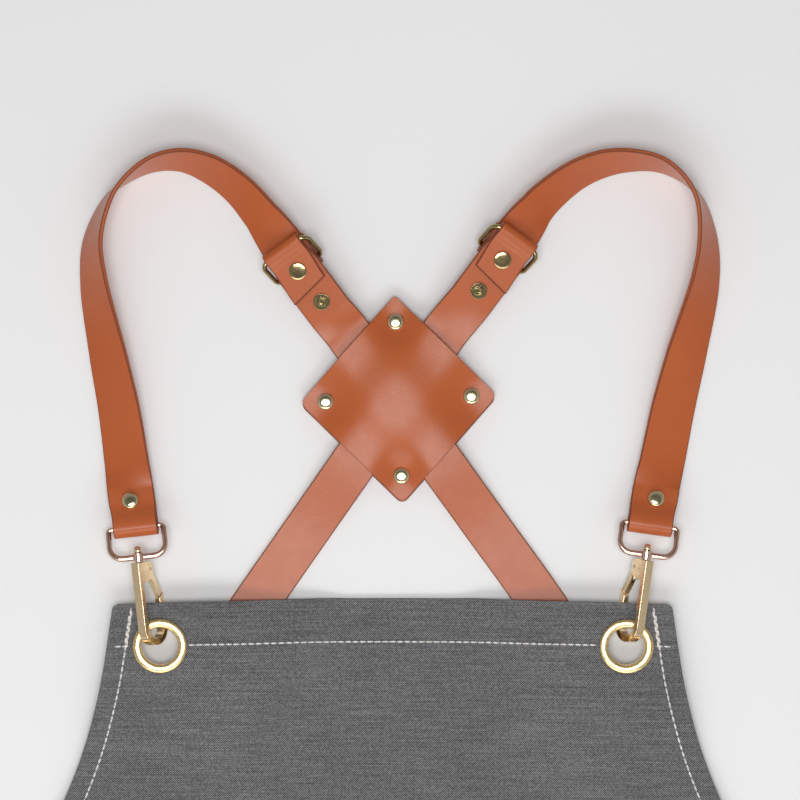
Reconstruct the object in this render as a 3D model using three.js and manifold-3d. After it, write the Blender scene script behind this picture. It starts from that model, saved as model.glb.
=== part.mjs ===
// A denim bib apron with leather cross-back straps, laid out flat with its front up.
// Millimetres. +X is to the viewer's right, +Y runs from the hem to the straps, +Z is up.
// The origin is on the table under the middle of the whole spread. "left" is the viewer's left.
import * as THREE from "three";
import { mergeVertices } from "three/addons/utils/BufferGeometryUtils.js";
import Module from "manifold-3d";

const wasm = await Module();
wasm.setup();

const { smoothstep, degToRad, lerp } = THREE.MathUtils;

// Sheet thicknesses and the clearance kept between pieces.
const CLOTH = 1.2;
const HEM = 2.4;
const LEATHER = 2.4;
const GAP = 0.3;
const STRAP_WIDTH = 25;

// Apron panel: "down" is the distance below the bib's top edge.
const BIB_TOP_Y = 275;
const BIB_HALF_TOP = 150.8;
const BIB_FLARE = Math.tan(degToRad(8.3));
const BIB_CURVE_FROM = 30;
const WAIST_DOWN = 285;
const WAIST_HALF = 315;
const PANEL_LENGTH = 795;
const TOP_HEM_WIDTH = 23;
const SIDE_HEM_WIDTH = 10.2;
const BOTTOM_HEM_WIDTH = 24;
const HEM_STEP = 1.4;
const HEM_EASE = 45;
const FIELD_COLUMNS = 18;
const BIB_ROW_PITCH = 16;
const SKIRT_ROW_PITCH = 56;

// How the cloth lies: over the lower straps, over the clasps, and in shallow folds of the skirt.
const STRAP_RIDGE = { height: 3.4, top: 20, foot: 42, fadeFrom: 318, fadeTo: 350 };
const CLASP_MOUND = { height: 8.6, top: 32, foot: 96 };
const WAIST_MOUND = { height: 5.2, top: 34, foot: 92 };
const SKIRT_FOLDS = [
  { x: -150, down: 580, turn: 0.1, halfWidth: 62, halfLength: 230, height: 3.2 },
  { x: 40, down: 660, turn: -0.16, halfWidth: 66, halfLength: 200, height: 2.6 },
  { x: 190, down: 540, turn: 0.22, halfWidth: 58, halfLength: 200, height: 3.4 },
];

// Bib grommets: the eyelet's face on the front, its barrel through the cloth, the washer behind.
const GROMMETS = {
  left: { x: -125.4, down: 23.5 },
  right: { x: 126.3, down: 23.7 },
};
const EYELET = { bore: 10, barrel: 10.7, face: 14.7, rise: 1.6, lip: 12.6, lipThick: 0.6 };
const WASHER = { thick: 0.8, outer: 14.5 };
const CLOTH_HOLE = 11.1;
const GROMMET_SIDES = 24;

// Swivel clasps. In the hook's own plane u runs from the spine to the gate, v from the loop to the nose.
const CLASPS = {
  left: { x: -136.6, above: 24.6, lean: 6.5, side: 1 },
  right: { x: 136.7, above: 25.9, lean: -8, side: -1 },
};
const SWIVEL_HEIGHT = 14.3;
const HOOK_ROLL = degToRad(33);
const LOOP = { width: 30.2, length: 17.2, wire: 1.6, drop: 12, lowCorner: 6.5, topCorner: 2.2 };
const BOSS = { radius: 3.2, half: 2.3, bore: 1.9 };
const POST = { radius: 1.5, head: 2.7, headHeight: 2.2 };
const HOOK = { spine: -2.5, tip: 13.6, bar: 3.2, thick: 5.2 };
const HOOK_BODY = { top: 2.8, end: 12.4, side: 8.2, chamfer: 2 };
const NOSE_CENTRE_V = 38.6;
const PIVOT = { u: 5.9, v: 7.1, pin: 0.9, pinHole: 1.2, eye: 2.5 };
const GATE = { half: 1.6, thick: 2.8, slot: 3.5, slotReach: 12 };
const GATE_END = { u: 13.4, v: 21.6, gap: 0.4 };

// Buckle rings in the folded tabs: two bars, two arms, slanting down behind the strap.
const RING = { width: 29.6, reach: 14.4, drop: 8.6, wire: 1.3, corner: 3.4 };
const TABS = {
  left: { x: -58.6, y: 464.5, along: [0.6, -0.8], tilt: -10 },
  right: { x: 66.9, y: 470.5, along: [-0.596, -0.803], tilt: 10 },
};
const TAB_HEIGHT = 17.4;
const TAB_PITCH = Math.tan(degToRad(9));
const TAB = { flap: 26, straight: 42, cap: 13.4, stud: 34.6, foldWidth: 22.6 };
const STRAP_END = { straight: 22, tail: 25, rivet: 15 };
const RING_END = { straight: 12, tail: 15 };
const FOLD = { leaves: 3, settled: 9, narrowTo: 4, fullFrom: 14, arcSteps: 6 };

// Shoulder straps from clasp to ring: tilt turns the flat strap on edge at the top and then over.
// lift is the height of the strap's low edge above the table.
const SHOULDER_ROUTES = {
  left: [
    { x: -143.4, y: 352, tilt: 21, lift: 2.6 },
    { x: -148.6, y: 379, tilt: 31, lift: 0.6 },
    { x: -153.4, y: 406, tilt: 41, lift: 0.3 },
    { x: -161, y: 449, tilt: 57, lift: 0.3 },
    { x: -161.6, y: 470.4, tilt: 69, lift: 0.3 },
    { x: -153.3, y: 492, tilt: 84, lift: 0.3 },
    { x: -144, y: 503, tilt: 95, lift: 0.3 },
    { x: -129, y: 512.4, tilt: 106, lift: 0.3 },
    { x: -113.4, y: 513.6, tilt: 115, lift: 0.3 },
    { x: -98.4, y: 508.6, tilt: 123, lift: 0.3 },
    { x: -83.4, y: 498, tilt: 130, lift: 0.4 },
    { x: -70.4, y: 483, tilt: 138, lift: 1.2 },
  ],
  right: [
    { x: 146, y: 352, tilt: -21, lift: 2.6 },
    { x: 151.4, y: 379, tilt: -31, lift: 0.6 },
    { x: 157.2, y: 406, tilt: -41, lift: 0.3 },
    { x: 168, y: 449, tilt: -57, lift: 0.3 },
    { x: 169.4, y: 470.4, tilt: -68, lift: 0.3 },
    { x: 165.4, y: 492, tilt: -83, lift: 0.3 },
    { x: 157, y: 503.4, tilt: -94, lift: 0.3 },
    { x: 144, y: 511.8, tilt: -105, lift: 0.3 },
    { x: 129, y: 513.6, tilt: -113, lift: 0.3 },
    { x: 114, y: 511.6, tilt: -119, lift: 0.3 },
    { x: 99, y: 505.4, tilt: -125, lift: 0.3 },
    { x: 84, y: 494, tilt: -133, lift: 0.6 },
    { x: 77.4, y: 487, tilt: -138, lift: 1.2 },
  ],
};

// Back straps from the tab, under the patch, beneath the bib to the far waist corner. z is mid-leather.
const PATCH_CENTRE = { x: 3.3, y: 384.7 };
const CROSSING = { x: 2.3, y: 383.5 };
const UNDER_STRAP_Z = 5.3;
const FLOOR_STRAP_Z = 1.6;
const WAIST_STRAP_Z = 3.2;
const BACK_ROUTES = {
  left: { edge: { x: 81.3, y: 273.9 }, waist: { x: 283.6, y: -26 }, over: false },
  right: { edge: { x: -74.2, y: 273.9 }, waist: { x: -283.6, y: -26 }, over: true },
};
const CROSSING_ROWS = [
  { along: -47, under: 1.2, over: 1.2 },
  { along: -38, under: 0.2, over: 0.2 },
  { along: -29, under: 0, over: 0.2 },
  { along: -20, under: 0, over: 2.3 },
  { along: -14, under: 0, over: 2.9 },
  { along: 0, under: 0, over: 2.9 },
  { along: 14, under: 0, over: 2.9 },
  { along: 20, under: 0, over: 2.3 },
  { along: 29, under: 0, over: 0.2 },
  { along: 42, under: 0, over: 0 },
];
const FLOOR_FROM_CROSSING = 84;
const WAIST_RIVET_INSET = 13;
const WAIST_RISE_FROM = 70;

// Leather diamonds that hold the crossing, with four rivets near their corners.
const PATCH = { halfAcross: 53.4, halfUp: 56.3, turn: 2.2, corner: 4, thick: 2.2, bottom: 1.6, cells: 10 };
const PATCH_SWELL = { height: 3.9, top: 17, foot: 28 };
const PATCH_RIVET_AT = 0.74;
const RIVET_DIP = { reach: 7.5, part: 0.8 };

// Domed, flat and hollow rivet heads.
const DOME_CAP = { radius: 4.5, edge: 0.7, dome: 1.8 };
const FLAT_CAP = { radius: 4.65, edge: 0.8, dome: 0.5 };
const BACK_CAP = { radius: 4.2, thick: 1.1, chamfer: 0.4 };
const STUD_CAP = { radius: 4.5, edge: 0.7, collar: 2.4, collarRise: 1.5, hole: 1.3, depth: 1.9, round: 0.3 };
const SHANK = 1.6;
const SHANK_HOLE = 2;
const DRILL_REACH = 9;

const UP = new THREE.Vector3(0, 0, 1);

const denim = () => new THREE.MeshStandardMaterial({ color: 0x4d5054, roughness: 0.95 });
const leather = () => new THREE.MeshStandardMaterial({ color: 0xb0592f, roughness: 0.55 });
const gold = () => new THREE.MeshStandardMaterial({ color: 0xd6ab66, roughness: 0.25, metalness: 1 });
const roseGold = () => new THREE.MeshStandardMaterial({ color: 0xcfa48a, roughness: 0.3, metalness: 1 });

const apron = new THREE.Group();

function addPiece(name, geometry, material) {
  const mesh = new THREE.Mesh(geometry, material);
  mesh.name = name;
  apron.add(mesh);
}

// Keep only positions, weld the corners and make every face point outward.
function outward(source) {
  const bare = source.clone();
  for (const attribute of ["normal", "uv"]) bare.deleteAttribute(attribute);
  const solid = mergeVertices(bare, 1e-4);
  const at = solid.attributes.position;
  const faces = Array.from(solid.index.array);
  const corner = [new THREE.Vector3(), new THREE.Vector3(), new THREE.Vector3()];
  const kept = [];
  let volume = 0;
  for (let i = 0; i < faces.length; i += 3) {
    const [a, b, c] = faces.slice(i, i + 3);
    if (a === b || b === c || c === a) continue;
    corner.forEach((point, k) => point.fromBufferAttribute(at, [a, b, c][k]));
    volume += corner[0].dot(corner[1].clone().cross(corner[2]));
    kept.push(a, b, c);
  }
  if (volume < 0) kept.reverse();
  solid.setIndex(kept);
  return solid;
}

function toSolid(geometry) {
  const closed = outward(geometry);
  const vertProperties = Float32Array.from(closed.attributes.position.array);
  const triVerts = Uint32Array.from(closed.index.array);
  return new wasm.Manifold(new wasm.Mesh({ numProp: 3, vertProperties, triVerts }));
}

function toGeometry(solid) {
  const mesh = solid.getMesh();
  const geometry = new THREE.BufferGeometry();
  geometry.setAttribute("position", new THREE.BufferAttribute(mesh.vertProperties, 3));
  geometry.setIndex(new THREE.BufferAttribute(mesh.triVerts, 1));
  return geometry;
}

function cut(geometry, tools) {
  return toGeometry(tools.reduce((solid, tool) => solid.subtract(toSolid(tool)), toSolid(geometry)));
}

function join(geometries) {
  return toGeometry(geometries.map(toSolid).reduce((all, next) => all.add(next)));
}

// A turned piece on its own axis (+Z after turning), from [radius, height] rows.
function turned(profile, sides) {
  const points = profile.map(([radius, height]) => new THREE.Vector2(radius, height));
  return outward(new THREE.LatheGeometry(points, sides).rotateX(Math.PI / 2));
}

function rod(radius, from, to, sides = 12) {
  return turned([[0, from], [radius, from], [radius, to], [0, to]], sides);
}

// Matrix that takes local x, y, z to the given directions at a point.
function placed(origin, xDir, yDir, zDir) {
  return new THREE.Matrix4().makeBasis(xDir, yDir, zDir).setPosition(origin);
}

// Matrix for a turned piece whose axis leaves `origin` along `axis`.
function onAxis(origin, axis) {
  const turn = new THREE.Quaternion().setFromUnitVectors(UP, axis);
  return new THREE.Matrix4().compose(origin, turn, new THREE.Vector3(1, 1, 1));
}

// A flat closed path as a 3D curve, for wire loops.
class FlatLoop extends THREE.Curve {
  constructor(path) {
    super();
    this.path = path;
  }

  getPoint(t, target = new THREE.Vector3()) {
    const point = this.path.getPointAt(t % 1);
    return target.set(point.x, point.y, 0);
  }
}

// Rounded rectangle from y = 0 to y = -length, with its own corner radius at each end.
function loopPath(width, length, cornerAtZero, cornerAtEnd) {
  const half = width / 2;
  const quarter = Math.PI / 2;
  const path = new THREE.Path();
  path.moveTo(0, 0);
  path.lineTo(half - cornerAtZero, 0);
  path.absarc(half - cornerAtZero, -cornerAtZero, cornerAtZero, quarter, 0, true);
  path.lineTo(half, cornerAtEnd - length);
  path.absarc(half - cornerAtEnd, cornerAtEnd - length, cornerAtEnd, 0, -quarter, true);
  path.lineTo(cornerAtEnd - half, -length);
  path.absarc(cornerAtEnd - half, cornerAtEnd - length, cornerAtEnd, -quarter, -2 * quarter, true);
  path.lineTo(-half, -cornerAtZero);
  path.absarc(cornerAtZero - half, -cornerAtZero, cornerAtZero, 2 * quarter, quarter, true);
  path.closePath();
  return path;
}

function wireLoop(path, radius) {
  return outward(new THREE.TubeGeometry(new FlatLoop(path), 36, radius, 6, true));
}

// Flat strap solid through sections of { centre, across, normal, width }.
function ribbon(sections) {
  const positions = [];
  const index = [];
  for (const { centre, across, normal, width } of sections) {
    for (const [a, n] of [[-1, -1], [1, -1], [1, 1], [-1, 1]]) {
      const point = centre.clone().addScaledVector(across, (a * width) / 2);
      positions.push(...point.addScaledVector(normal, (n * LEATHER) / 2).toArray());
    }
  }
  const last = (sections.length - 1) * 4;
  for (let i = 0; i < last; i += 4) {
    for (let k = 0; k < 4; k += 1) {
      const next = (k + 1) % 4;
      index.push(i + k, i + next, i + 4 + next, i + k, i + 4 + next, i + 4 + k);
    }
  }
  index.push(0, 2, 1, 0, 3, 2, last, last + 1, last + 2, last, last + 2, last + 3);
  const geometry = new THREE.BufferGeometry();
  geometry.setAttribute("position", new THREE.Float32BufferAttribute(positions, 3));
  geometry.setIndex(index);
  return outward(geometry);
}

// Across and normal directions of a strap that travels along `along` and is tilted about it.
function strapFrame(along, tilt) {
  const angle = degToRad(tilt);
  const right = along.clone().cross(UP).normalize();
  const up = right.clone().cross(along).normalize();
  const across = right.clone().multiplyScalar(Math.cos(angle)).addScaledVector(up, Math.sin(angle));
  const normal = up.multiplyScalar(Math.cos(angle)).addScaledVector(right, -Math.sin(angle));
  return { across, normal };
}

// Sections of a strap end folded round a bar, from the free tail to the straight main layer.
// `out` leads away from the bar along the strap and `main` is the side that the main layer lies on.
function foldSections({ bar, out, main, across, wire, tail, straight, sign, foldWidth = STRAP_WIDTH }) {
  const bend = wire + GAP + LEATHER / 2;
  const rest = (LEATHER + GAP) / 2;
  const { settled, leaves, arcSteps } = FOLD;
  const between = [(settled + leaves) / 2, (bend + rest) / 2];
  const steps = [[tail, -rest], [settled, -rest], [between[0], -between[1]], [leaves, -bend]];
  for (let i = 0; i <= arcSteps; i += 1) {
    const angle = -Math.PI / 2 - (i * Math.PI) / arcSteps;
    steps.push([bend * Math.cos(angle), bend * Math.sin(angle)]);
  }
  steps.push([leaves, bend], between, [settled, rest], [straight, rest]);
  return steps.map(([s, n], i) => {
    const before = steps[Math.max(i - 1, 0)];
    const after = steps[Math.min(i + 1, steps.length - 1)];
    const run = new THREE.Vector2(after[0] - before[0], after[1] - before[1]).normalize();
    const centre = bar.clone().addScaledVector(out, s).addScaledVector(main, n);
    const normal = main.clone().multiplyScalar(run.x * sign).addScaledVector(out, -run.y * sign);
    const width = lerp(foldWidth, STRAP_WIDTH, smoothstep(s, FOLD.narrowTo, FOLD.fullFrom));
    return { centre, across, normal, width };
  });
}

// Sections along a smooth route through rows of { point, tilt }, skipping the guide rows at the ends.
function routeSections(rows, skipStart, skipEnd, perSpan) {
  const curve = new THREE.CatmullRomCurve3(rows.map((row) => row.point), false, "centripetal");
  const spans = rows.length - 1;
  const sections = [];
  for (let i = skipStart * perSpan + 1; i < (spans - skipEnd) * perSpan + (skipEnd ? 0 : 1); i += 1) {
    const t = i / (spans * perSpan);
    const row = Math.min(Math.floor(i / perSpan), spans - 1);
    const tilt = lerp(rows[row].tilt, rows[row + 1].tilt, i / perSpan - row);
    const frame = strapFrame(curve.getTangent(t), tilt);
    sections.push({ centre: curve.getPoint(t), width: STRAP_WIDTH, ...frame });
  }
  return sections;
}

// Height of a tilted strap's middle when its low edge is `lift` above the table.
function restHeight(tilt, lift) {
  const angle = degToRad(tilt);
  const reach = (STRAP_WIDTH * Math.abs(Math.sin(angle)) + LEATHER * Math.abs(Math.cos(angle))) / 2;
  return reach + lift;
}

// Rivets have a head in front, a shank through `grip` and a plain cap behind. Height 0 is the grip's middle.
function capRows(cap, base) {
  const rows = [[cap.radius, base], [cap.radius, base + cap.edge]];
  for (const angle of [30, 60]) {
    const turn = degToRad(angle);
    rows.push([cap.radius * Math.cos(turn), base + cap.edge + cap.dome * Math.sin(turn)]);
  }
  rows.push([0, base + cap.edge + cap.dome]);
  return rows;
}

function shankRows(half) {
  const bottom = -half - BACK_CAP.thick;
  const { radius, chamfer } = BACK_CAP;
  return [[0, bottom], [radius - chamfer, bottom], [radius, -half], [SHANK, -half], [SHANK, half]];
}

function rivet(cap, grip) {
  const half = grip / 2 + GAP;
  return turned([...shankRows(half), ...capRows(cap, half)], 12);
}

// Spare snap stud: a collar with an open centre on a flat base.
function snapStud(grip) {
  const half = grip / 2 + GAP;
  const { radius, edge, collar, collarRise, hole, depth, round } = STUD_CAP;
  const base = half + edge;
  const crown = base + collarRise;
  const front = [[radius, half], [radius - round, base], [collar, base], [collar, crown - round]];
  const open = [[collar - round, crown], [hole, crown], [hole, crown - depth], [0, crown - depth]];
  return turned([...shankRows(half), ...front, ...open], 12);
}

function shankHole(at, axis) {
  return rod(SHANK_HOLE, -DRILL_REACH, DRILL_REACH).applyMatrix4(onAxis(at, axis));
}

// Straps run straight under the cloth: distance from a point to the line through `edge` and `waist`.
function offLine(point, from, to) {
  const run = new THREE.Vector2(to.x - from.x, to.y - from.y).normalize();
  return Math.abs((point.x - from.x) * run.y - (point.y - from.y) * run.x);
}

function panelHalf(down) {
  if (down >= WAIST_DOWN) return WAIST_HALF;
  const curve = WAIST_HALF - BIB_HALF_TOP - BIB_FLARE * WAIST_DOWN;
  const bend = Math.max(0, down - BIB_CURVE_FROM) / (WAIST_DOWN - BIB_CURVE_FROM);
  return BIB_HALF_TOP + BIB_FLARE * down + curve * bend ** 2;
}

// Side hem measured along x, so that its width square to the slanting edge stays the same.
function sideHem(down) {
  if (down >= WAIST_DOWN) return SIDE_HEM_WIDTH;
  const slope = panelHalf(down) - panelHalf(down - 1);
  return SIDE_HEM_WIDTH * Math.hypot(1, slope);
}

function bump(distance, { height, top, foot }) {
  return height * (1 - smoothstep(distance, top, foot));
}

// How far the cloth's underside is held off the table.
function clothLift(x, down) {
  const point = { x, y: BIB_TOP_Y - down };
  const fade = 1 - smoothstep(down, STRAP_RIDGE.fadeFrom, STRAP_RIDGE.fadeTo);
  const supports = Object.values(BACK_ROUTES).map(
    ({ edge, waist }) => fade * bump(offLine(point, edge, waist), STRAP_RIDGE),
  );
  for (const grommet of Object.values(GROMMETS)) {
    supports.push(bump(Math.hypot(x - grommet.x, down - grommet.down), CLASP_MOUND));
  }
  for (const side of Object.keys(BACK_ROUTES)) {
    const end = waistRivetPlan(side);
    supports.push(bump(Math.hypot(x - end.x, point.y - end.y), WAIST_MOUND));
  }
  for (const fold of SKIRT_FOLDS) {
    const across = (x - fold.x) * Math.cos(fold.turn) + (down - fold.down) * Math.sin(fold.turn);
    const along = (down - fold.down) * Math.cos(fold.turn) - (x - fold.x) * Math.sin(fold.turn);
    const narrow = 1 - smoothstep(Math.abs(across), 0, fold.halfWidth);
    supports.push(fold.height * narrow * (1 - smoothstep(Math.abs(along), 0, fold.halfLength)));
  }
  return Math.hypot(...supports.map((value) => value ** 2)) ** 0.5;
}

// Rows down the panel as { down, hem }, hem being true where the top or bottom hem doubles the cloth.
function panelRows() {
  const rows = [{ down: 0, hem: true }, { down: TOP_HEM_WIDTH, hem: true }];
  const bibFrom = TOP_HEM_WIDTH + HEM_STEP;
  const bibSteps = Math.round((WAIST_DOWN - bibFrom) / BIB_ROW_PITCH);
  for (let i = 0; i < bibSteps; i += 1) {
    rows.push({ down: lerp(bibFrom, WAIST_DOWN, i / bibSteps), hem: false });
  }
  const skirtTo = PANEL_LENGTH - BOTTOM_HEM_WIDTH - HEM_STEP;
  const skirtSteps = Math.round((skirtTo - WAIST_DOWN) / SKIRT_ROW_PITCH);
  for (let i = 0; i <= skirtSteps; i += 1) {
    rows.push({ down: lerp(WAIST_DOWN, skirtTo, i / skirtSteps), hem: false });
  }
  rows.push({ down: PANEL_LENGTH - BOTTOM_HEM_WIDTH, hem: true }, { down: PANEL_LENGTH, hem: true });
  return rows;
}

// Columns across one row as { x, hem }.
function panelColumns(down) {
  const half = panelHalf(down);
  const hem = sideHem(down);
  const field = half - hem - HEM_STEP;
  const columns = [{ x: -half, hem: true }, { x: hem - half, hem: true }];
  for (let i = 0; i <= FIELD_COLUMNS; i += 1) {
    columns.push({ x: lerp(-field, field, i / FIELD_COLUMNS), hem: false });
  }
  columns.push({ x: half - hem, hem: true }, { x: half, hem: true });
  return columns;
}

// The front face stays smooth over the hems, and the doubled cloth shows as a step behind.
function panelHeights(x, down, doubled) {
  const fromEdge = Math.min(down - TOP_HEM_WIDTH, panelHalf(down) - Math.abs(x) - SIDE_HEM_WIDTH,
    PANEL_LENGTH - down - BOTTOM_HEM_WIDTH);
  const front = lerp(HEM, CLOTH, smoothstep(fromEdge, 0, HEM_EASE)) + clothLift(x, down);
  return { front, back: front - (doubled ? HEM : CLOTH) };
}

function panelSheet() {
  const rows = panelRows();
  const wide = FIELD_COLUMNS + 5;
  const faces = { front: [], back: [] };
  for (const { down, hem } of rows) {
    for (const column of panelColumns(down)) {
      const z = panelHeights(column.x, down, hem || column.hem);
      faces.front.push([column.x, BIB_TOP_Y - down, z.front]);
      faces.back.push([column.x, BIB_TOP_Y - down, z.back]);
    }
  }
  return sheetSolid(faces, rows.length, wide);
}

// Closed solid between two grids of points with the same layout.
function sheetSolid({ front, back }, tall, wide) {
  const under = front.length;
  const index = [];
  const quad = (a, b, c, d) => index.push(a, b, c, a, c, d);
  for (let r = 0; r < tall - 1; r += 1) {
    for (let c = 0; c < wide - 1; c += 1) {
      const a = r * wide + c;
      quad(a, a + wide, a + wide + 1, a + 1);
      quad(under + a, under + a + 1, under + a + wide + 1, under + a + wide);
    }
  }
  const rim = [];
  for (let c = 0; c < wide - 1; c += 1) rim.push(c);
  for (let r = 0; r < tall - 1; r += 1) rim.push(r * wide + wide - 1);
  for (let c = wide - 1; c > 0; c -= 1) rim.push((tall - 1) * wide + c);
  for (let r = tall - 1; r > 0; r -= 1) rim.push(r * wide);
  rim.forEach((a, i) => {
    const b = rim[(i + 1) % rim.length];
    quad(a, b, under + b, under + a);
  });
  const geometry = new THREE.BufferGeometry();
  geometry.setAttribute("position", new THREE.Float32BufferAttribute([...front, ...back].flat(), 3));
  geometry.setIndex(index);
  return outward(geometry);
}

function grommetHeight(grommet) {
  return panelHeights(grommet.x, grommet.down, false).front;
}

function buildPanel() {
  const holes = Object.values(GROMMETS).map((grommet) => {
    const tool = rod(CLOTH_HOLE, -DRILL_REACH, DRILL_REACH, GROMMET_SIDES);
    return tool.translate(grommet.x, BIB_TOP_Y - grommet.down, grommetHeight(grommet));
  });
  for (const side of ["left", "right"]) holes.push(shankHole(waistRivetAt(side), UP));
  addPiece("apron_panel", cut(panelSheet(), holes), denim());
}

function buildGrommet(side) {
  const grommet = GROMMETS[side];
  const face = grommetHeight(grommet) + GAP;
  const behind = -HEM - 2 * GAP;
  const underWasher = behind - GAP - WASHER.thick;
  const { bore, barrel, face: outer, rise, lip, lipThick } = EYELET;
  const middle = (bore + outer) / 2;
  const profile = [
    [bore, underWasher - lipThick], [lip, underWasher - lipThick], [lip, underWasher - GAP],
    [barrel, underWasher - GAP], [barrel, 0], [outer, 0], [outer - 0.4, rise * 0.55],
    [middle + 0.9, rise], [middle - 0.9, rise], [bore, rise * 0.45], [bore, underWasher - lipThick],
  ];
  const at = [grommet.x, BIB_TOP_Y - grommet.down, face];
  addPiece(`bib_eyelet_${side}`, turned(profile, GROMMET_SIDES).translate(...at), gold());
  const washer = [
    [barrel + GAP, underWasher], [WASHER.outer, underWasher], [WASHER.outer, behind],
    [barrel + GAP, behind], [barrel + GAP, underWasher],
  ];
  addPiece(`bib_washer_${side}`, turned(washer, GROMMET_SIDES).translate(...at), gold());
}

// Directions of one clasp: along to the nose, sideways to the gate, the hook's plane and its loop's plane.
function claspFrame(side) {
  const clasp = CLASPS[side];
  const lean = degToRad(clasp.lean);
  const origin = new THREE.Vector3(clasp.x, BIB_TOP_Y + clasp.above, SWIVEL_HEIGHT);
  const v = new THREE.Vector3(Math.sin(lean), -Math.cos(lean), 0);
  const across = new THREE.Vector3(Math.cos(lean), Math.sin(lean), 0);
  const u = across.clone().multiplyScalar(clasp.side * Math.sin(HOOK_ROLL));
  u.addScaledVector(UP, -Math.cos(HOOK_ROLL));
  const w = u.clone().cross(v);
  const drop = degToRad(LOOP.drop);
  const strapward = v.clone().multiplyScalar(-Math.cos(drop)).addScaledVector(UP, -Math.sin(drop));
  const bar = origin.clone().addScaledVector(strapward, LOOP.length);
  const front = across.clone().cross(strapward);
  return { origin, v, u, w, across, strapward, front, bar };
}

function extrudedFlat(shape, thick) {
  const block = new THREE.ExtrudeGeometry(shape, { depth: thick, bevelEnabled: false, curveSegments: 10 });
  return outward(block.translate(0, 0, -thick / 2));
}

// The slanted joint between gate and nose runs at 45 degrees through the gate's end.
function slantV(u, offset) {
  return GATE_END.u + GATE_END.v + offset * Math.SQRT2 - u;
}

function hookShape() {
  const { spine, tip, bar } = HOOK;
  const { top, end, side, chamfer } = HOOK_BODY;
  const half = bar / 2;
  const middle = (spine + tip) / 2;
  const outer = (tip - spine) / 2 + half;
  const inner = outer - bar;
  const shape = new THREE.Shape();
  shape.moveTo(spine - half, top);
  shape.lineTo(spine - half, NOSE_CENTRE_V);
  shape.absarc(middle, NOSE_CENTRE_V, outer, Math.PI, 0, true);
  shape.lineTo(tip + half, slantV(tip + half, GATE_END.gap));
  shape.lineTo(tip - half, slantV(tip - half, GATE_END.gap));
  shape.lineTo(tip - half, NOSE_CENTRE_V);
  shape.absarc(middle, NOSE_CENTRE_V, inner, 0, Math.PI, false);
  shape.lineTo(spine + half, end + chamfer);
  shape.lineTo(PIVOT.u, end);
  shape.lineTo(side, end - chamfer);
  shape.lineTo(side, top + chamfer);
  shape.lineTo(side - chamfer, top);
  shape.closePath();
  return shape;
}

function gateShape() {
  const run = new THREE.Vector2(GATE_END.u - PIVOT.u, GATE_END.v - PIVOT.v).normalize();
  const end = (sign) => {
    const start = new THREE.Vector2(PIVOT.u + sign * run.y * GATE.half, PIVOT.v - sign * run.x * GATE.half);
    const travel = (GATE_END.u + GATE_END.v - start.x - start.y) / (run.x + run.y);
    return [start, start.clone().addScaledVector(run, travel)];
  };
  const [outerStart, outerEnd] = end(1);
  const [innerStart, innerEnd] = end(-1);
  const shape = new THREE.Shape();
  shape.moveTo(outerStart.x, outerStart.y);
  shape.lineTo(outerEnd.x, outerEnd.y);
  shape.lineTo(innerEnd.x, innerEnd.y);
  shape.lineTo(innerStart.x, innerStart.y);
  shape.closePath();
  return shape;
}

function buildClasp(side) {
  const { origin, v, u, w, across, strapward, front } = claspFrame(side);
  const swivel = onAxis(origin, v);
  const loopPlace = placed(origin, across, strapward.clone().negate(), front.clone().negate());
  const wire = wireLoop(loopPath(LOOP.width, LOOP.length, LOOP.lowCorner, LOOP.topCorner), LOOP.wire);
  const boss = rod(BOSS.radius, -BOSS.half, BOSS.half).applyMatrix4(swivel);
  const bore = rod(BOSS.bore, -DRILL_REACH, DRILL_REACH).applyMatrix4(swivel);
  const loop = join([wire.applyMatrix4(loopPlace), boss]);
  addPiece(`clasp_loop_${side}`, cut(loop, [bore]), roseGold());

  const hookPlace = placed(origin, u, v, w);
  const headFrom = -BOSS.half - GAP;
  const headTop = headFrom - POST.headHeight;
  const post = turned([
    [0, headTop], [POST.head * 0.6, headTop + 0.4], [POST.head, headFrom - 0.5], [POST.head, headFrom],
    [POST.radius, headFrom], [POST.radius, HOOK_BODY.top + 1], [0, HOOK_BODY.top + 1],
  ], 12).applyMatrix4(swivel);
  const slot = new THREE.BoxGeometry(GATE.slotReach, GATE.slotReach, GATE.slot);
  const slotFromU = HOOK.spine + HOOK.bar / 2 + GAP;
  const slotFromV = PIVOT.v - PIVOT.eye - GAP;
  slot.translate(slotFromU + GATE.slotReach / 2, slotFromV + GATE.slotReach / 2, 0).applyMatrix4(hookPlace);
  const pinHole = rod(PIVOT.pinHole, -DRILL_REACH, DRILL_REACH).translate(PIVOT.u, PIVOT.v, 0);
  pinHole.applyMatrix4(hookPlace);
  const blank = extrudedFlat(hookShape(), HOOK.thick).applyMatrix4(hookPlace);
  addPiece(`clasp_hook_${side}`, cut(join([blank, post]), [slot, pinHole]), gold());
  const eye = rod(PIVOT.eye, -GATE.thick / 2, GATE.thick / 2, 16).translate(PIVOT.u, PIVOT.v, 0);
  const gate = join([extrudedFlat(gateShape(), GATE.thick), eye]).applyMatrix4(hookPlace);
  addPiece(`clasp_gate_${side}`, cut(gate, [pinHole]), gold());
  const pin = rod(PIVOT.pin, -HOOK.thick / 2, HOOK.thick / 2, 10).translate(PIVOT.u, PIVOT.v, 0);
  addPiece(`clasp_pin_${side}`, pin.applyMatrix4(hookPlace), gold());
}

// Directions of one folded tab: the near bar of its ring, down the strap, to the viewer, and across.
function tabFrame(side) {
  const tab = TABS[side];
  const bar = new THREE.Vector3(tab.x, tab.y, TAB_HEIGHT);
  const along = new THREE.Vector3(tab.along[0], tab.along[1], -TAB_PITCH).normalize();
  const { across, normal } = strapFrame(along, tab.tilt);
  const farBar = bar.clone().addScaledVector(along, RING.reach).addScaledVector(normal, -RING.drop);
  return { bar, along, across, normal, farBar };
}

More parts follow.
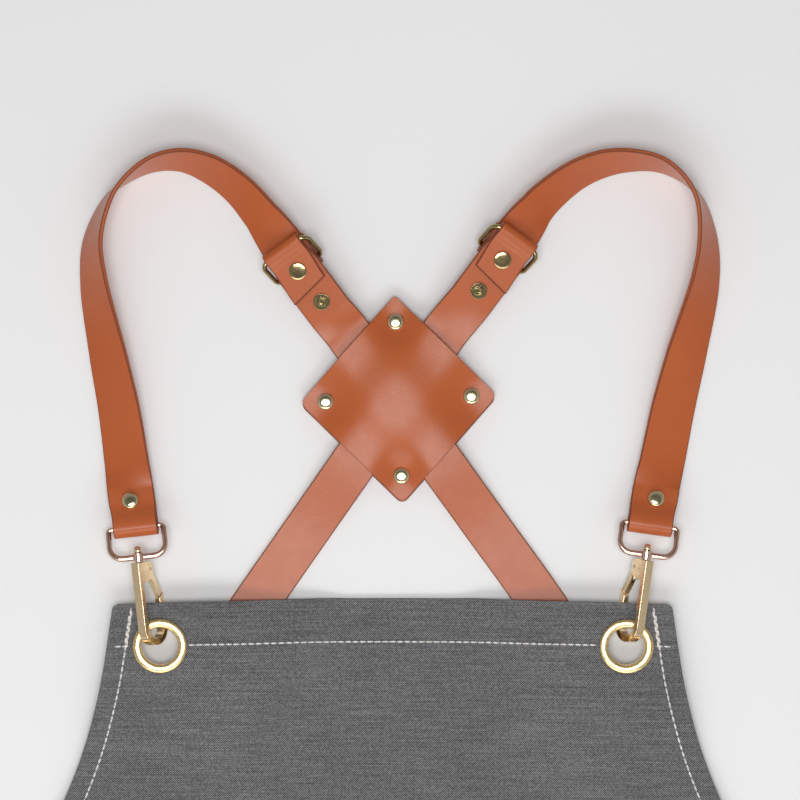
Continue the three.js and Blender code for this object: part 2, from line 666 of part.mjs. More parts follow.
function buildRing(side) {
  const { bar, across, farBar } = tabFrame(side);
  const run = bar.clone().sub(farBar);
  const length = run.length();
  run.normalize();
  const path = loopPath(RING.width, length, RING.corner, RING.corner);
  const place = placed(bar, across, run, across.clone().cross(run));
  addPiece(`strap_ring_${side}`, wireLoop(path, RING.wire).applyMatrix4(place), gold());
}

function buildShoulderStrap(side) {
  const { bar, strapward, front, across } = claspFrame(side);
  const start = foldSections({
    bar, out: strapward, main: front, across, wire: LOOP.wire,
    tail: STRAP_END.tail, straight: STRAP_END.straight, sign: 1,
  });
  const tab = tabFrame(side);
  const endTilt = TABS[side].tilt + 180 * CLASPS[side].side;
  const back = tab.along.clone().negate();
  const endAcross = tab.across.clone().negate();
  const finish = foldSections({
    bar: tab.farBar, out: back, main: tab.normal, across: endAcross, wire: RING.wire,
    tail: RING_END.tail, straight: RING_END.straight, sign: -1,
  }).reverse();
  const rows = [
    { point: start.at(-2).centre, tilt: 0 },
    { point: start.at(-1).centre, tilt: 0 },
    ...SHOULDER_ROUTES[side].map(({ x, y, tilt, lift }) => (
      { point: new THREE.Vector3(x, y, restHeight(tilt, lift)), tilt })),
    { point: finish[0].centre, tilt: endTilt },
    { point: finish[1].centre, tilt: endTilt },
  ];
  const strap = ribbon([...start, ...routeSections(rows, 1, 1, 3), ...finish]);
  const rivetAt = bar.clone().addScaledVector(strapward, STRAP_END.rivet);
  addPiece(`shoulder_strap_${side}`, cut(strap, [shankHole(rivetAt, front)]), leather());
  const end = rivet(DOME_CAP, 2 * LEATHER + GAP).applyMatrix4(onAxis(rivetAt, front));
  addPiece(`strap_rivet_${side}`, end, gold());
}

// Where the waist rivet passes through the cloth and the end of the strap beneath it.
function waistRivetPlan(side) {
  const { edge, waist } = BACK_ROUTES[side];
  const run = new THREE.Vector2(waist.x - edge.x, waist.y - edge.y).normalize();
  return run.multiplyScalar(-WAIST_RIVET_INSET).add(waist);
}

function waistRivetAt(side) {
  const { x, y } = waistRivetPlan(side);
  const { front } = panelHeights(x, BIB_TOP_Y - y, false);
  const under = WAIST_STRAP_Z - LEATHER / 2;
  return new THREE.Vector3(x, y, (front + under) / 2);
}

function buildBackStrap(side) {
  const { bar, along, across, normal } = tabFrame(side);
  const { edge, waist, over } = BACK_ROUTES[side];
  const tilt = TABS[side].tilt;
  const start = foldSections({
    bar, out: along, main: normal.clone().negate(), across, wire: RING.wire,
    tail: TAB.flap, straight: TAB.straight, sign: -1, foldWidth: TAB.foldWidth,
  });
  const rows = [{ point: start.at(-2).centre, tilt }, { point: start.at(-1).centre, tilt }];
  const addRow = (from, to, distance, z) => {
    const run = new THREE.Vector2(to.x - from.x, to.y - from.y);
    const { x, y } = run.setLength(1).multiplyScalar(distance).add(from);
    rows.push({ point: new THREE.Vector3(x, y, z), tilt: 0 });
  };
  for (const row of CROSSING_ROWS) {
    addRow(CROSSING, edge, row.along, UNDER_STRAP_Z + (over ? row.over : row.under));
  }
  addRow(CROSSING, edge, FLOOR_FROM_CROSSING, FLOOR_STRAP_Z);
  addRow(edge, waist, 0, FLOOR_STRAP_Z);
  addRow(waist, edge, WAIST_RISE_FROM, FLOOR_STRAP_Z);
  addRow(waist, edge, 2 * WAIST_RIVET_INSET, WAIST_STRAP_Z);
  addRow(waist, edge, 0, WAIST_STRAP_Z);
  const strap = ribbon([...start, ...routeSections(rows, 1, 0, 2)]);
  const capAt = bar.clone().addScaledVector(along, TAB.cap);
  const studAt = bar.clone().addScaledVector(along, TAB.stud);
  studAt.addScaledVector(normal, -(LEATHER + GAP) / 2);
  const waistAt = waistRivetAt(side);
  const holes = [shankHole(capAt, normal), shankHole(studAt, normal), shankHole(waistAt, UP)];
  addPiece(`back_strap_${side}`, cut(strap, holes), leather());
  const tabRivet = rivet(FLAT_CAP, 2 * LEATHER + GAP).applyMatrix4(onAxis(capAt, normal));
  addPiece(`tab_rivet_${side}`, tabRivet, gold());
  addPiece(`snap_stud_${side}`, snapStud(LEATHER).applyMatrix4(onAxis(studAt, normal)), gold());
  const grip = 2 * (waistAt.z - WAIST_STRAP_Z + LEATHER / 2);
  addPiece(`waist_rivet_${side}`, rivet(DOME_CAP, grip).translate(...waistAt.toArray()), gold());
}

// A point of the diamond: p and q run from -1 to 1 along its two pairs of sides.
function patchPoint(p, q) {
  const across = ((p - q) / 2) * PATCH.halfAcross;
  const up = ((p + q) / 2) * PATCH.halfUp;
  const turn = degToRad(PATCH.turn);
  const x = PATCH_CENTRE.x + across * Math.cos(turn) - up * Math.sin(turn);
  const y = PATCH_CENTRE.y + across * Math.sin(turn) + up * Math.cos(turn);
  return { x, y };
}

// The front diamond swells over each strap and comes down to the rear one near its rivets.
function patchSwell(point) {
  const over = ({ edge }) => bump(offLine(point, CROSSING, edge), PATCH_SWELL);
  return over(BACK_ROUTES.left) + over(BACK_ROUTES.right);
}

// Where the straight part of a side ends and its rounded corner begins, as a share of the half side.
const PATCH_REACH = 1 - (2 * PATCH.corner) / Math.hypot(PATCH.halfAcross, PATCH.halfUp);

// The grid's corner point is drawn in to the middle of the corner's arc.
function roundedCorner(p, q) {
  const drawn = lerp(PATCH_REACH, 1, Math.SQRT1_2);
  const atCorner = Math.abs(p) === 1 && Math.abs(q) === 1;
  return atCorner ? [p * drawn, q * drawn] : [p, q];
}

// A diamond of leather over a grid of stations, its underside at the height that `bottomAt` gives.
function patchSheet(stations, bottomAt) {
  const faces = { front: [], back: [] };
  for (const q of stations) {
    for (const p of stations) {
      const point = patchPoint(...roundedCorner(p, q));
      const bottom = bottomAt(point);
      faces.front.push([point.x, point.y, bottom + PATCH.thick]);
      faces.back.push([point.x, point.y, bottom]);
    }
  }
  return sheetSolid(faces, stations.length, stations.length);
}

// Highest point of the front diamond under a rivet's head.
function patchTopNear(at) {
  const overRear = PATCH.bottom + PATCH.thick + GAP;
  const around = Array.from({ length: 12 }, (_, i) => {
    const angle = (i * Math.PI) / 6;
    const { reach } = RIVET_DIP;
    return patchSwell({ x: at.x + reach * Math.cos(angle), y: at.y + reach * Math.sin(angle) });
  });
  return overRear + PATCH.thick + Math.max(...around) * RIVET_DIP.part;
}

function buildPatch() {
  const overRear = PATCH.bottom + PATCH.thick + GAP;
  const rivetAt = { top: [1, 1], right: [1, -1], bottom: [-1, -1], left: [-1, 1] };
  const holes = [];
  for (const [place, [p, q]] of Object.entries(rivetAt)) {
    const { x, y } = patchPoint(p * PATCH_RIVET_AT, q * PATCH_RIVET_AT);
    const grip = patchTopNear({ x, y }) - PATCH.bottom;
    const at = new THREE.Vector3(x, y, PATCH.bottom + grip / 2);
    holes.push(shankHole(at, UP));
    addPiece(`patch_rivet_${place}`, rivet(DOME_CAP, grip).translate(...at.toArray()), gold());
  }
  const count = { length: PATCH.cells + 1 };
  const steps = Array.from(count, (_, i) => lerp(-PATCH_REACH, PATCH_REACH, i / PATCH.cells));
  const front = patchSheet([-1, ...steps, 1], (point) => overRear + patchSwell(point));
  addPiece("patch_front", cut(front, holes), leather());
  const rear = patchSheet([-1, -PATCH_REACH, PATCH_REACH, 1], () => PATCH.bottom);
  addPiece("patch_back", cut(rear, holes), leather());
}

buildPanel();
for (const side of ["left", "right"]) {
  buildGrommet(side);
  buildClasp(side);
  buildRing(side);
  buildShoulderStrap(side);
  buildBackStrap(side);
}
buildPatch();

export default apron;
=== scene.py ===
# Looks of a denim bib apron with leather cross-back straps, laid flat with its front up.
# Sizes are in millimetres. +X is to the viewer's right, +Y runs from the hem to the straps, +Z is up.
# "left" is the viewer's left. Meshes are shaped in millimetres and set down in metres.
import math
from collections import namedtuple
from functools import partial
from types import SimpleNamespace as Sizes

import bmesh
import bpy
from mathutils import Matrix, Vector, noise


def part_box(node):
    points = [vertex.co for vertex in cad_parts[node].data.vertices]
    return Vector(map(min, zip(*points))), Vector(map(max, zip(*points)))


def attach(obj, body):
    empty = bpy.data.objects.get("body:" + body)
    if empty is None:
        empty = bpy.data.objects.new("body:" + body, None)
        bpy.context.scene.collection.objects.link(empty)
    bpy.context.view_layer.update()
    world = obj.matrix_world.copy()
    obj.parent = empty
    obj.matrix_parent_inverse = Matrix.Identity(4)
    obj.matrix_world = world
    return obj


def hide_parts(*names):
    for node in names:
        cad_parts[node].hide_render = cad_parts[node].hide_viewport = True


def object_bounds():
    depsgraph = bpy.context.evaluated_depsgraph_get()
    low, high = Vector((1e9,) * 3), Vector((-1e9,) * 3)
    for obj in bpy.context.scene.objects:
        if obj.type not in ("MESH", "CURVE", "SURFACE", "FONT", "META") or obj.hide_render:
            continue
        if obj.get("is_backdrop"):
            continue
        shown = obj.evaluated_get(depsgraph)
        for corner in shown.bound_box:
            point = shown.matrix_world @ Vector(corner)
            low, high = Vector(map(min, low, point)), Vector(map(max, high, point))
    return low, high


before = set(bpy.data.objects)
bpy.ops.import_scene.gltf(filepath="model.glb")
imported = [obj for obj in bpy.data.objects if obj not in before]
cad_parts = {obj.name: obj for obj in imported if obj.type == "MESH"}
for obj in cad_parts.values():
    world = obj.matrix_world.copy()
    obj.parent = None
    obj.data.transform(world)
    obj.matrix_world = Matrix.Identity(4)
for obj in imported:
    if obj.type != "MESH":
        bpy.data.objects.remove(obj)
cad_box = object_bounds()

MM = 0.001
UP = Vector((0, 0, 1))
SIDES = ("left", "right")
BODY = "apron"

# Sheet thicknesses, the clearance between pieces, and how sheet edges are rounded.
CLOTH = 1.2
HEM = 2.4
LEATHER = 2.4
GAP = 0.3
STRAP_WIDTH = 25
LEATHER_ROUND = 0.55
CLOTH_ROUND = Sizes(width=1, segments=4)
SHEET_EDGE_ANGLE = 60
MERGE_DISTANCE = 0.001

# Apron panel: "down" is the distance below the bib's top edge.
PANEL = Sizes(top_y=275, half_top=150.8, flare=math.tan(math.radians(8.3)), curve_from=30,
              waist_down=285, waist_half=315, length=795, top_hem=23, side_hem=10.2, bottom_hem=24,
              hem_step=1.4, hem_ease=45, corner=2.6, crown=2.6, crown_level=0.6, crown_fade=70)
PANEL_RUNS = ((3.6, 0.9), (23, 2.2), (24.4, 1.4), (60, 2.2), (285, 4.2), (769.6, 8), (771, 1.4), (795, 4))
HEM_COLUMNS = 5
FIELD_COLUMNS = 124
SUPPORT_BLEND = 4
STRAP_RIDGE = Sizes(height=3.4, top=20, foot=42)
RIDGE_FADE = (318, 350)
CLASP_MOUND = Sizes(height=8.6, top=32, foot=96)
WAIST_MOUND = Sizes(height=5.2, top=34, foot=92)
SKIRT_FOLDS = (
    Sizes(x=-150, down=580, turn=0.1, half_width=62, half_length=230, height=3.2),
    Sizes(x=40, down=660, turn=-0.16, half_width=66, half_length=200, height=2.6),
    Sizes(x=190, down=540, turn=0.22, half_width=58, half_length=200, height=3.4),
)
RIPPLE = Sizes(height=0.55, span=62, clear_from=16, clear_to=46)
PUCKER = Sizes(height=0.32, pitch=9.5, reach=5, drift=3, drift_span=28.5)
STITCH = Sizes(pitch=4, length=3.7, width=1.05, height=0.8, sunk=0.12, segments=8, rings=6)
BACK_TACK = Sizes(first=5, last=24, offsets=(-0.55, 0.5))

# Bib grommets.
GROMMETS = {"left": Sizes(x=-125.4, down=23.5), "right": Sizes(x=126.3, down=23.7)}
EYELET = Sizes(bore=10, barrel=10.7, face=14.7, rise=1.6, lip=12.6, lip_thick=0.6,
               roll_steps=28, roll_fullness=0.65, soft_angle=50)
WASHER = Sizes(thick=0.8, outer=14.5)
CLOTH_HOLE = 11.3
GROMMET_STEPS = 96

# Swivel clasps. In the hook's plane u runs from the spine to the gate, v from the loop to the nose.
CLASPS = {
    "left": Sizes(x=-136.6, above=24.6, lean=6.5, side=1),
    "right": Sizes(x=136.7, above=25.9, lean=-8, side=-1),
}
SWIVEL_HEIGHT = 14.3
HOOK_ROLL = math.radians(33)
LOOP = Sizes(width=30.2, length=16.4, wire=1.6, drop=math.radians(12), low_corner=6.5, top_corner=2.2,
             soft=0.3, soft_angle=50)
BOSS = Sizes(radius=3.2, half=2.3, bore=1.9)
POST = Sizes(radius=1.5, head=2.5, head_centre=0.9, head_turn=1.93, head_steps=14, root=1)
HOOK = Sizes(spine=-2.5, tip=13.6, bar=3.2, thick=5.2, nose_v=38.6, taper=0.62, soft=0.55,
             soft_angle=30, bend_steps=24)
HOOK_BODY = Sizes(top=2.8, end=12.4, side=8.2, chamfer=2)
PIVOT = Sizes(u=5.9, v=7.1, pin=0.9, pin_flat=0.7, pin_crown=0.2, eye=2.5)
GATE = Sizes(half=1.6, thick=2.8, slot=3.5, slot_reach=12, soft=0.4)
GATE_END = Sizes(u=13.4, v=21.6, gap=0.4)

# Buckle rings in the folded tabs.
RING = Sizes(width=29.6, reach=14.4, drop=8.6, wire=1.3, near_corner=4.6, far_corner=3.4)
TABS = {
    "left": Sizes(bar=Vector((-58.6, 464.5, 17.4)), along=(0.6, -0.8), tilt=-10),
    "right": Sizes(bar=Vector((66.9, 470.5, 17.4)), along=(-0.596, -0.803), tilt=10),
}
TAB_PITCH = math.tan(math.radians(9))
TAB = Sizes(flap=26, straight=42, cap=13.4, stud=34.6, fold_width=22.6, flap_shift=1.2,
            flap_slant=math.tan(math.radians(9)))
STRAP_END = Sizes(straight=21, tail=21, rivet=14.2, sway=0.9, rivet_sway=1.3, fold_width=23.8,
                  slack=0.8, settled=13)
RING_END = Sizes(straight=12, tail=15)
FOLD = Sizes(leaves=1.5, settled=7, narrow_to=4, full_from=14, arc_steps=16, pitch=1)

# Strap meshes: rows to a span of the route, columns across, and the blank's y below which the cut tail lies.
ROUTE = Sizes(per_span=8, look=0.01)
STRAP_COLUMNS = 10
CUT_TAIL = -0.999

# Shoulder straps from clasp to ring: lift is the height of the low edge above the table.
Lie = namedtuple("Lie", "x y tilt lift")
SHOULDER_ROUTES = {
    "left": (
        Lie(-144, 352, 15, 1.2), Lie(-147.8, 379, 24, 0.5), Lie(-153.1, 406, 33, 0.3),
        Lie(-161.1, 449, 52.5, 0.3), Lie(-161.4, 470.4, 63, 0.3), Lie(-153.2, 492.4, 76.5, 0.3),
        Lie(-144.2, 502.4, 88, 0.3), Lie(-129, 511.5, 101.5, 0.3), Lie(-113.4, 513.4, 112, 0.3),
        Lie(-98.4, 508.6, 123, 0.3), Lie(-83.4, 498, 130, 0.4), Lie(-70.4, 483, 138, 1.2),
    ),
    "right": (
        Lie(146.3, 352, -11, 1.2), Lie(151.7, 379, -18, 0.5), Lie(158.2, 406, -27, 0.3),
        Lie(168.7, 449, -50, 0.3), Lie(169.9, 470.4, -62, 0.3), Lie(165.4, 492, -77, 0.3),
        Lie(157.2, 503, -88, 0.3), Lie(144, 511.2, -101, 0.3), Lie(129, 513.3, -110.5, 0.3),
        Lie(114, 511.6, -119, 0.3), Lie(99, 505.4, -125, 0.3), Lie(84, 494, -133, 0.6),
        Lie(77.4, 487, -138, 1.2),
    ),
}

# Back straps from the tab, under the patch, beneath the bib to the far waist corner.
CROSSING = Vector((2.3, 383.5))
BACK_ROUTES = {
    "left": Sizes(edge=Vector((81.3, 273.9)), waist=Vector((283.6, -26)), over=False),
    "right": Sizes(edge=Vector((-74.2, 273.9)), waist=Vector((-283.6, -26)), over=True),
}
Rise = namedtuple("Rise", "along under over")
CROSSING_ROWS = (
    Rise(-47, 1.2, 1.2), Rise(-38, 0.2, 0.2), Rise(-29, 0, 0.2), Rise(-20, 0, 2.3), Rise(-14, 0, 2.9),
    Rise(0, 0, 2.9), Rise(14, 0, 2.9), Rise(20, 0, 2.3), Rise(29, 0, 0.2), Rise(42, 0, 0),
)
STRAP_Z = Sizes(under=5.3, floor=1.6, waist=3.2)
FLOOR_FROM_CROSSING = 84
WAIST_RIVET_INSET = 13
WAIST_RISE_FROM = 70

# Leather diamonds over the crossing.
PATCH = Sizes(centre=Vector((3.3, 384.7)), half_across=53.4, half_up=56.3, turn=math.radians(2.2),
              corner=4, sharp=1.8, thick=2.2, bottom=1.6, cells=56, settle=40, settle_share=0.5,
              rear_cells=48, rear_shift=-1.2)
PATCH_SWELL = Sizes(height=5.2, top=8, foot=34, blend=2)
PATCH_DENTS = (Sizes(x=2.5, y=356, height=0.9, top=3, foot=17),
               Sizes(x=2, y=415, height=0.7, top=3, foot=18))
PATCH_PRESS = Sizes(height=1, top=5, foot=13)
PATCH_RIVETS = [f"patch_rivet_{place}" for place in ("top", "right", "bottom", "left")]

# Rivets: heads as radius, straight edge and dome, then their backs, studs, shank and softened edges.
DOME_CAP = Sizes(radius=4.5, edge=0.7, dome=1.8)
LOW_CAP = Sizes(radius=4.65, edge=0.65, dome=0.4)
CAP = Sizes(fullness=0.78, steps=10, crown=0.99999)
BACK_CAP = Sizes(radius=4.2, thick=1.1, bevel=0.4)
STUD_CAP = Sizes(radius=4.5, edge=0.7, collar=2.4, collar_rise=1.5, hole=1.3, depth=1.9, soft=0.25)
SHANK = 1.6
METAL_SOFT = 0.2

# The camera looks straight down from where a pixel of the 800 pixel frame is 0.5435 mm wide.
# Its far limit is in metres.
CAMERA = Sizes(x=4.1, y=384.2, z=1449, lens=120, sensor=36, far=50)

# Floor and softboxes, in metres and watts.
FLOOR_HALF = 6
SOFTBOXES = {
    "overhead": Sizes(place=(-0.03, 0.23, 1.75), target=(-0.03, 0.231, 0), size=(1.0, 0.64), power=14.7),
    "low": Sizes(place=(-0.05, -1.0, 1.35), target=(0, 0.35, 0), size=(2.0, 0.75), power=10.8),
}


# Plain sums

def lerp(start, end, share):
    return start + (end - start) * share


def smooth(value, low, high):
    share = min(max((value - low) / (high - low), 0.0), 1.0)
    return share * share * (3 - 2 * share)


def bump(distance, rise):
    return rise.height * (1 - smooth(distance, rise.top, rise.foot))


def off_line(point, start, end):
    run = (end - start).normalized()
    away = point - start
    return abs(away.x * run.y - away.y * run.x)


def axes_at(origin, x_axis, y_axis, z_axis):
    """Matrix that takes local x, y, z to the given directions at a point."""
    turn = Matrix((x_axis, y_axis, z_axis)).transposed().to_4x4()
    return Matrix.Translation(origin) @ turn


def on_axis(origin, axis):
    """Matrix for a turned piece whose axis leaves origin along axis."""
    return Matrix.Translation(origin) @ UP.rotation_difference(axis).to_matrix().to_4x4()


# Meshes

def turned(profile, place=Matrix(), steps=64):
    """A closed turned piece from (radius, height) rows, spun about its axis and set at place."""
    bm = bmesh.new()
    verts = [bm.verts.new((radius, 0, height)) for radius, height in profile]
    edges = [bm.edges.new(pair) for pair in zip(verts, verts[1:])]
    bmesh.ops.spin(bm, geom=verts + edges, axis=UP, angle=math.tau, steps=steps, use_merge=True)
    bmesh.ops.remove_doubles(bm, verts=bm.verts, dist=MERGE_DISTANCE)
    bmesh.ops.recalc_face_normals(bm, faces=bm.faces)
    bmesh.ops.transform(bm, matrix=place, verts=bm.verts)
    return bm


def swept_wire(radius, stations, sides=16):
    """A closed wire: a round section carried from each station to the next and joined at the end."""
    bm = bmesh.new()
    ring = bmesh.ops.create_circle(bm, segments=sides, radius=radius, matrix=stations[0])["verts"]
    first = list({edge for vert in ring for edge in vert.link_edges})
    rim = first
    for here, there in zip(stations, stations[1:]):
        grown = bmesh.ops.extrude_edge_only(bm, edges=rim)["geom"]
        verts = [part for part in grown if isinstance(part, bmesh.types.BMVert)]
        fresh = set(verts)
        rim = [part for part in grown
               if isinstance(part, bmesh.types.BMEdge) and fresh.issuperset(part.verts)]
        bmesh.ops.transform(bm, matrix=there @ here.inverted(), verts=verts)
    bmesh.ops.bridge_loops(bm, edges=first + rim)
    bmesh.ops.recalc_face_normals(bm, faces=bm.faces)
    return bm


def rounded_loop(width, length, near_corner, far_corner, steps=8):
    """Stations round a rectangle from y = 0 to y = -length, each with its section square to the wire."""
    half = width / 2
    corners = (
        (half - near_corner, -near_corner, near_corner, 90),
        (half - far_corner, far_corner - length, far_corner, 0),
        (far_corner - half, far_corner - length, far_corner, -90),
        (near_corner - half, -near_corner, near_corner, -180),
    )
    stations = []
    for x, y, radius, start in corners:
        for step in range(steps + 1):
            angle = math.radians(start - 90 * step / steps)
            outward = Vector((math.cos(angle), math.sin(angle), 0))
            stations.append(axes_at(Vector((x, y, 0)) + outward * radius, outward, UP, outward.cross(UP)))
    return stations


def plate(outline, thick, place=Matrix()):
    """A flat plate: the outline's face drawn up to its thickness and centred on its plane."""
    bm = bmesh.new()
    face = bm.faces.new([bm.verts.new((u, v, -thick / 2)) for u, v in outline])
    grown = bmesh.ops.extrude_face_region(bm, geom=[face])["geom"]
    verts = [part for part in grown if isinstance(part, bmesh.types.BMVert)]
    bmesh.ops.translate(bm, vec=(0, 0, thick), verts=verts)
    bmesh.ops.recalc_face_normals(bm, faces=bm.faces)
    bmesh.ops.transform(bm, matrix=place, verts=bm.verts)
    return bm


def block(size, place):
    bm = bmesh.new()
    bmesh.ops.create_cube(bm, size=1, matrix=place @ Matrix.Diagonal((*size, 1)))
    return bm


def arc(centre, radius, start, end, steps):
    """Points of an arc in degrees, both ends included."""
    angles = [math.radians(lerp(start, end, step / steps)) for step in range(steps + 1)]
    return [(centre[0] + radius * math.cos(a), centre[1] + radius * math.sin(a)) for a in angles]


def new_object(bm, name):
    """Makes a mesh an object of the scene."""
    mesh = bpy.data.meshes.new(name)
    bm.to_mesh(mesh)
    bm.free()
    made = bpy.data.objects.new(name, mesh)
    bpy.context.scene.collection.objects.link(made)
    return made


def combined(base, *steps):
    """The base mesh after each step of (operation, mesh) joins to it or cuts it."""
    blank = new_object(base, "blank")
    tools = []
    for operation, mesh in steps:
        tools.append(new_object(mesh, "blank"))
        modifier = blank.modifiers.new("step", "BOOLEAN")
        modifier.operation = operation
        modifier.object = tools[-1]
        modifier.solver = "EXACT"
    bm = bmesh.new()
    bm.from_object(blank, bpy.context.evaluated_depsgraph_get())
    for blank_object in (blank, *tools):
        bpy.data.meshes.remove(blank_object.data)
    return bm


def set_down(bm, name, finishes, stands_for=(), body=BODY):
    """Makes a mesh a smooth piece in metres that rides on its body and stands for its CAD nodes."""
    bmesh.ops.scale(bm, vec=(MM, MM, MM), verts=bm.verts)
    piece = new_object(bm, name)
    for finish in finishes:
        piece.data.materials.append(finish)
    piece.data.shade_smooth()
    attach(piece, body)
    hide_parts(*stands_for)
    return piece


def set_metal(bm, node, finish, body=BODY):
    """A gold piece that stands for the one CAD node it is named after."""
    return set_down(bm, f"{node}_gold", [finish], [node], body)


def soften(piece, width, segments=3, angle=35):
    """Rounds a piece's sharp edges."""
    modifier = piece.modifiers.new("soft_edges", "BEVEL")
    modifier.width = width * MM
    modifier.segments = segments
    modifier.limit_method = "ANGLE"
    modifier.angle_limit = math.radians(angle)
    modifier.harden_normals = True
    modifier.use_clamp_overlap = True
    return modifier


def thicken(piece, thick, offset, rim_finish=0):
    """Gives a sheet its thickness, with its own finish on the cut edge."""
    modifier = piece.modifiers.new("thickness", "SOLIDIFY")
    modifier.thickness = thick * MM
    modifier.offset = offset
    modifier.use_even_offset = True
    modifier.material_offset_rim = rim_finish
    return modifier


# Finishes

def linear(code):
    """Linear colour of an sRGB hex value."""
    parts = [int(code[i:i + 2], 16) / 255 for i in (1, 3, 5)]
    return (*(p / 12.92 if p <= 0.04045 else ((p + 0.055) / 1.055) ** 2.4 for p in parts), 1)


def per_mm(size):
    """Texture scale at which one repeat is `size` millimetres in a mesh in metres."""
    return 1 / (size * MM)


def add_node(tree, kind, inputs, **settings):
    """Adds a shader node with its settings. Each input is a value to set, or a socket or node to link,
    of which a node gives its first live output."""
    node = tree.nodes.new("ShaderNode" + kind)
    for name, value in settings.items():
        setattr(node, name, value)
    for name, value in inputs.items():
        if isinstance(value, bpy.types.Node):
            value = next(output for output in value.outputs if output.enabled)
        if isinstance(value, bpy.types.NodeSocket):
            tree.links.new(value, node.inputs[name])
        else:
            node.inputs[name].default_value = value
    return node


def new_finish(name):
    """An empty material, the function that adds its nodes, and the place that its patterns read."""
    finish = bpy.data.materials.new(name)
    finish.use_nodes = True
    finish.node_tree.nodes.clear()
    add = partial(add_node, finish.node_tree)
    return finish, add, add("TexCoord", {}).outputs["Object"]


def denim_finish():
    """Grey melange denim: pale and dark threads crossing in a plain weave, matt, with specks and slubs.
    The 0.45 mm threads are drawn 0.62 mm wide, so that the weave shows from the camera."""
    finish, add, where = new_finish("grey_melange_denim")
    thread = 0.62
    slub_run = 30
    cloud_span = 60
    threads = add("VectorMath", {0: where, "Scale": per_mm(thread)}, operation="SCALE")
    grid = add("VectorMath", {0: threads}, operation="FLOOR")
    within = add("VectorMath", {0: threads}, operation="FRACTION")
    step = add("VectorMath", {0: grid, 1: (1, 1, 0)}, operation="DOT_PRODUCT")
    weft_up = add("Math", {0: step, 1: 2}, operation="FLOORED_MODULO")
    off = add("VectorMath", {0: within, 1: (0.5, 0.5, 0)}, operation="SUBTRACT")
    flat = add("VectorMath", {0: off, 1: (1, 1, 0)}, operation="MULTIPLY")
    crown = add("VectorMath", {0: flat, 1: flat}, operation="DOT_PRODUCT")
    height = add("Math", {0: crown, 1: -2.0, 2: 1.0}, operation="MULTIPLY_ADD")
    rows = add("VectorMath", {0: grid, 1: (1, 1, 0)}, operation="MULTIPLY")
    cell = add("TexWhiteNoise", {"Vector": rows}, noise_dimensions="3D")
    slub_scale = (per_mm(slub_run), per_mm(thread), per_mm(slub_run))
    stretch = add("Mapping", {"Vector": where, "Scale": slub_scale})
    slub = add("TexNoise", {"Vector": stretch, "Scale": 1, "Detail": 2})
    cloud = add("TexNoise", {"Vector": where, "Scale": per_mm(cloud_span), "Detail": 3})
    pale = add("Math", {0: weft_up, 1: 0.56, 2: -0.21}, operation="MULTIPLY_ADD")
    speck = add("Math", {0: cell, 1: 0.34, 2: pale}, operation="MULTIPLY_ADD")
    streak = add("Math", {0: slub, 1: 0.7, 2: -0.35}, operation="MULTIPLY_ADD")
    shade = add("Math", {0: cloud, 1: 0.2, 2: -0.1}, operation="MULTIPLY_ADD")
    uneven = add("Math", {0: streak, 1: shade}, operation="ADD")
    share = add("Math", {0: speck, 1: uneven}, operation="ADD", use_clamp=True)
    colour = add("Mix", {"Factor": share, "A": linear("#343539"), "B": linear("#ABA9A8")}, data_type="RGBA")
    relief = add("Bump", {"Strength": 0.5, "Distance": 0.2 * MM, "Height": height})
    surface = add("BsdfPrincipled", {
        "Base Color": colour, "Roughness": 0.93, "Specular IOR Level": 0.25,
        "Sheen Weight": 0.08, "Sheen Roughness": 0.5, "Normal": relief})
    add("OutputMaterial", {"Surface": surface})
    return finish


def leather_finish():
    """Smooth tan leather with a fine pressed grain and a wax finish: a broad soft sheen over warm brown."""
    finish, add, where = new_finish("tan_smooth_leather")
    pore = 0.9
    crease_run = 3.5
    mottle_span = 6
    cloud_span = 38
    pores = add("TexVoronoi", {"Vector": where, "Scale": per_mm(pore), "Randomness": 1.0},
                feature="SMOOTH_F1")
    crease = add("TexNoise", {"Vector": where, "Scale": per_mm(crease_run), "Detail": 5, "Roughness": 0.6})
    cloud = add("TexNoise", {"Vector": where, "Scale": per_mm(cloud_span), "Detail": 4})
    mottle = add("TexNoise", {"Vector": where, "Scale": per_mm(mottle_span), "Detail": 4})
    tone = add("Mix", {"Factor": cloud, "A": linear("#B0562C"), "B": linear("#C06535")}, data_type="RGBA")
    fine = add("Math", {0: mottle, 1: 0.3}, operation="MULTIPLY")
    colour = add("Mix", {"Factor": fine, "A": tone, "B": linear("#A64D24")}, data_type="RGBA")
    grain = add("Math", {0: crease, 1: 0.7, 2: pores}, operation="MULTIPLY_ADD")
    rough = add("MapRange", {"Value": mottle, "To Min": 0.28, "To Max": 0.37})
    relief = add("Bump", {"Strength": 0.22, "Distance": 0.16 * MM, "Height": grain})
    surface = add("BsdfPrincipled", {
        "Base Color": colour, "Roughness": rough, "Specular IOR Level": 0.31,
        "Coat Weight": 0.08, "Coat Roughness": 0.32, "Normal": relief})
    add("OutputMaterial", {"Surface": surface})
    return finish


def cut_edge_finish(name, dark, pale):
    """Cut edge of tan leather, stained and rubbed: fibrous and matt. Its darker copy on rounded corners is
    partly stain, partly painted shade.
    """
    finish, add, where = new_finish(name)
    fibre_run = 1.2
    fibre = add("TexNoise", {"Vector": where, "Scale": per_mm(fibre_run), "Detail": 5})
    colour = add("Mix", {"Factor": fibre, "A": linear(dark), "B": linear(pale)}, data_type="RGBA")
    relief = add("Bump", {"Strength": 0.35, "Distance": 0.2 * MM, "Height": fibre})
    surface = add("BsdfPrincipled", {"Base Color": colour, "Roughness": 0.62, "Normal": relief})
    add("OutputMaterial", {"Surface": surface})
    return finish


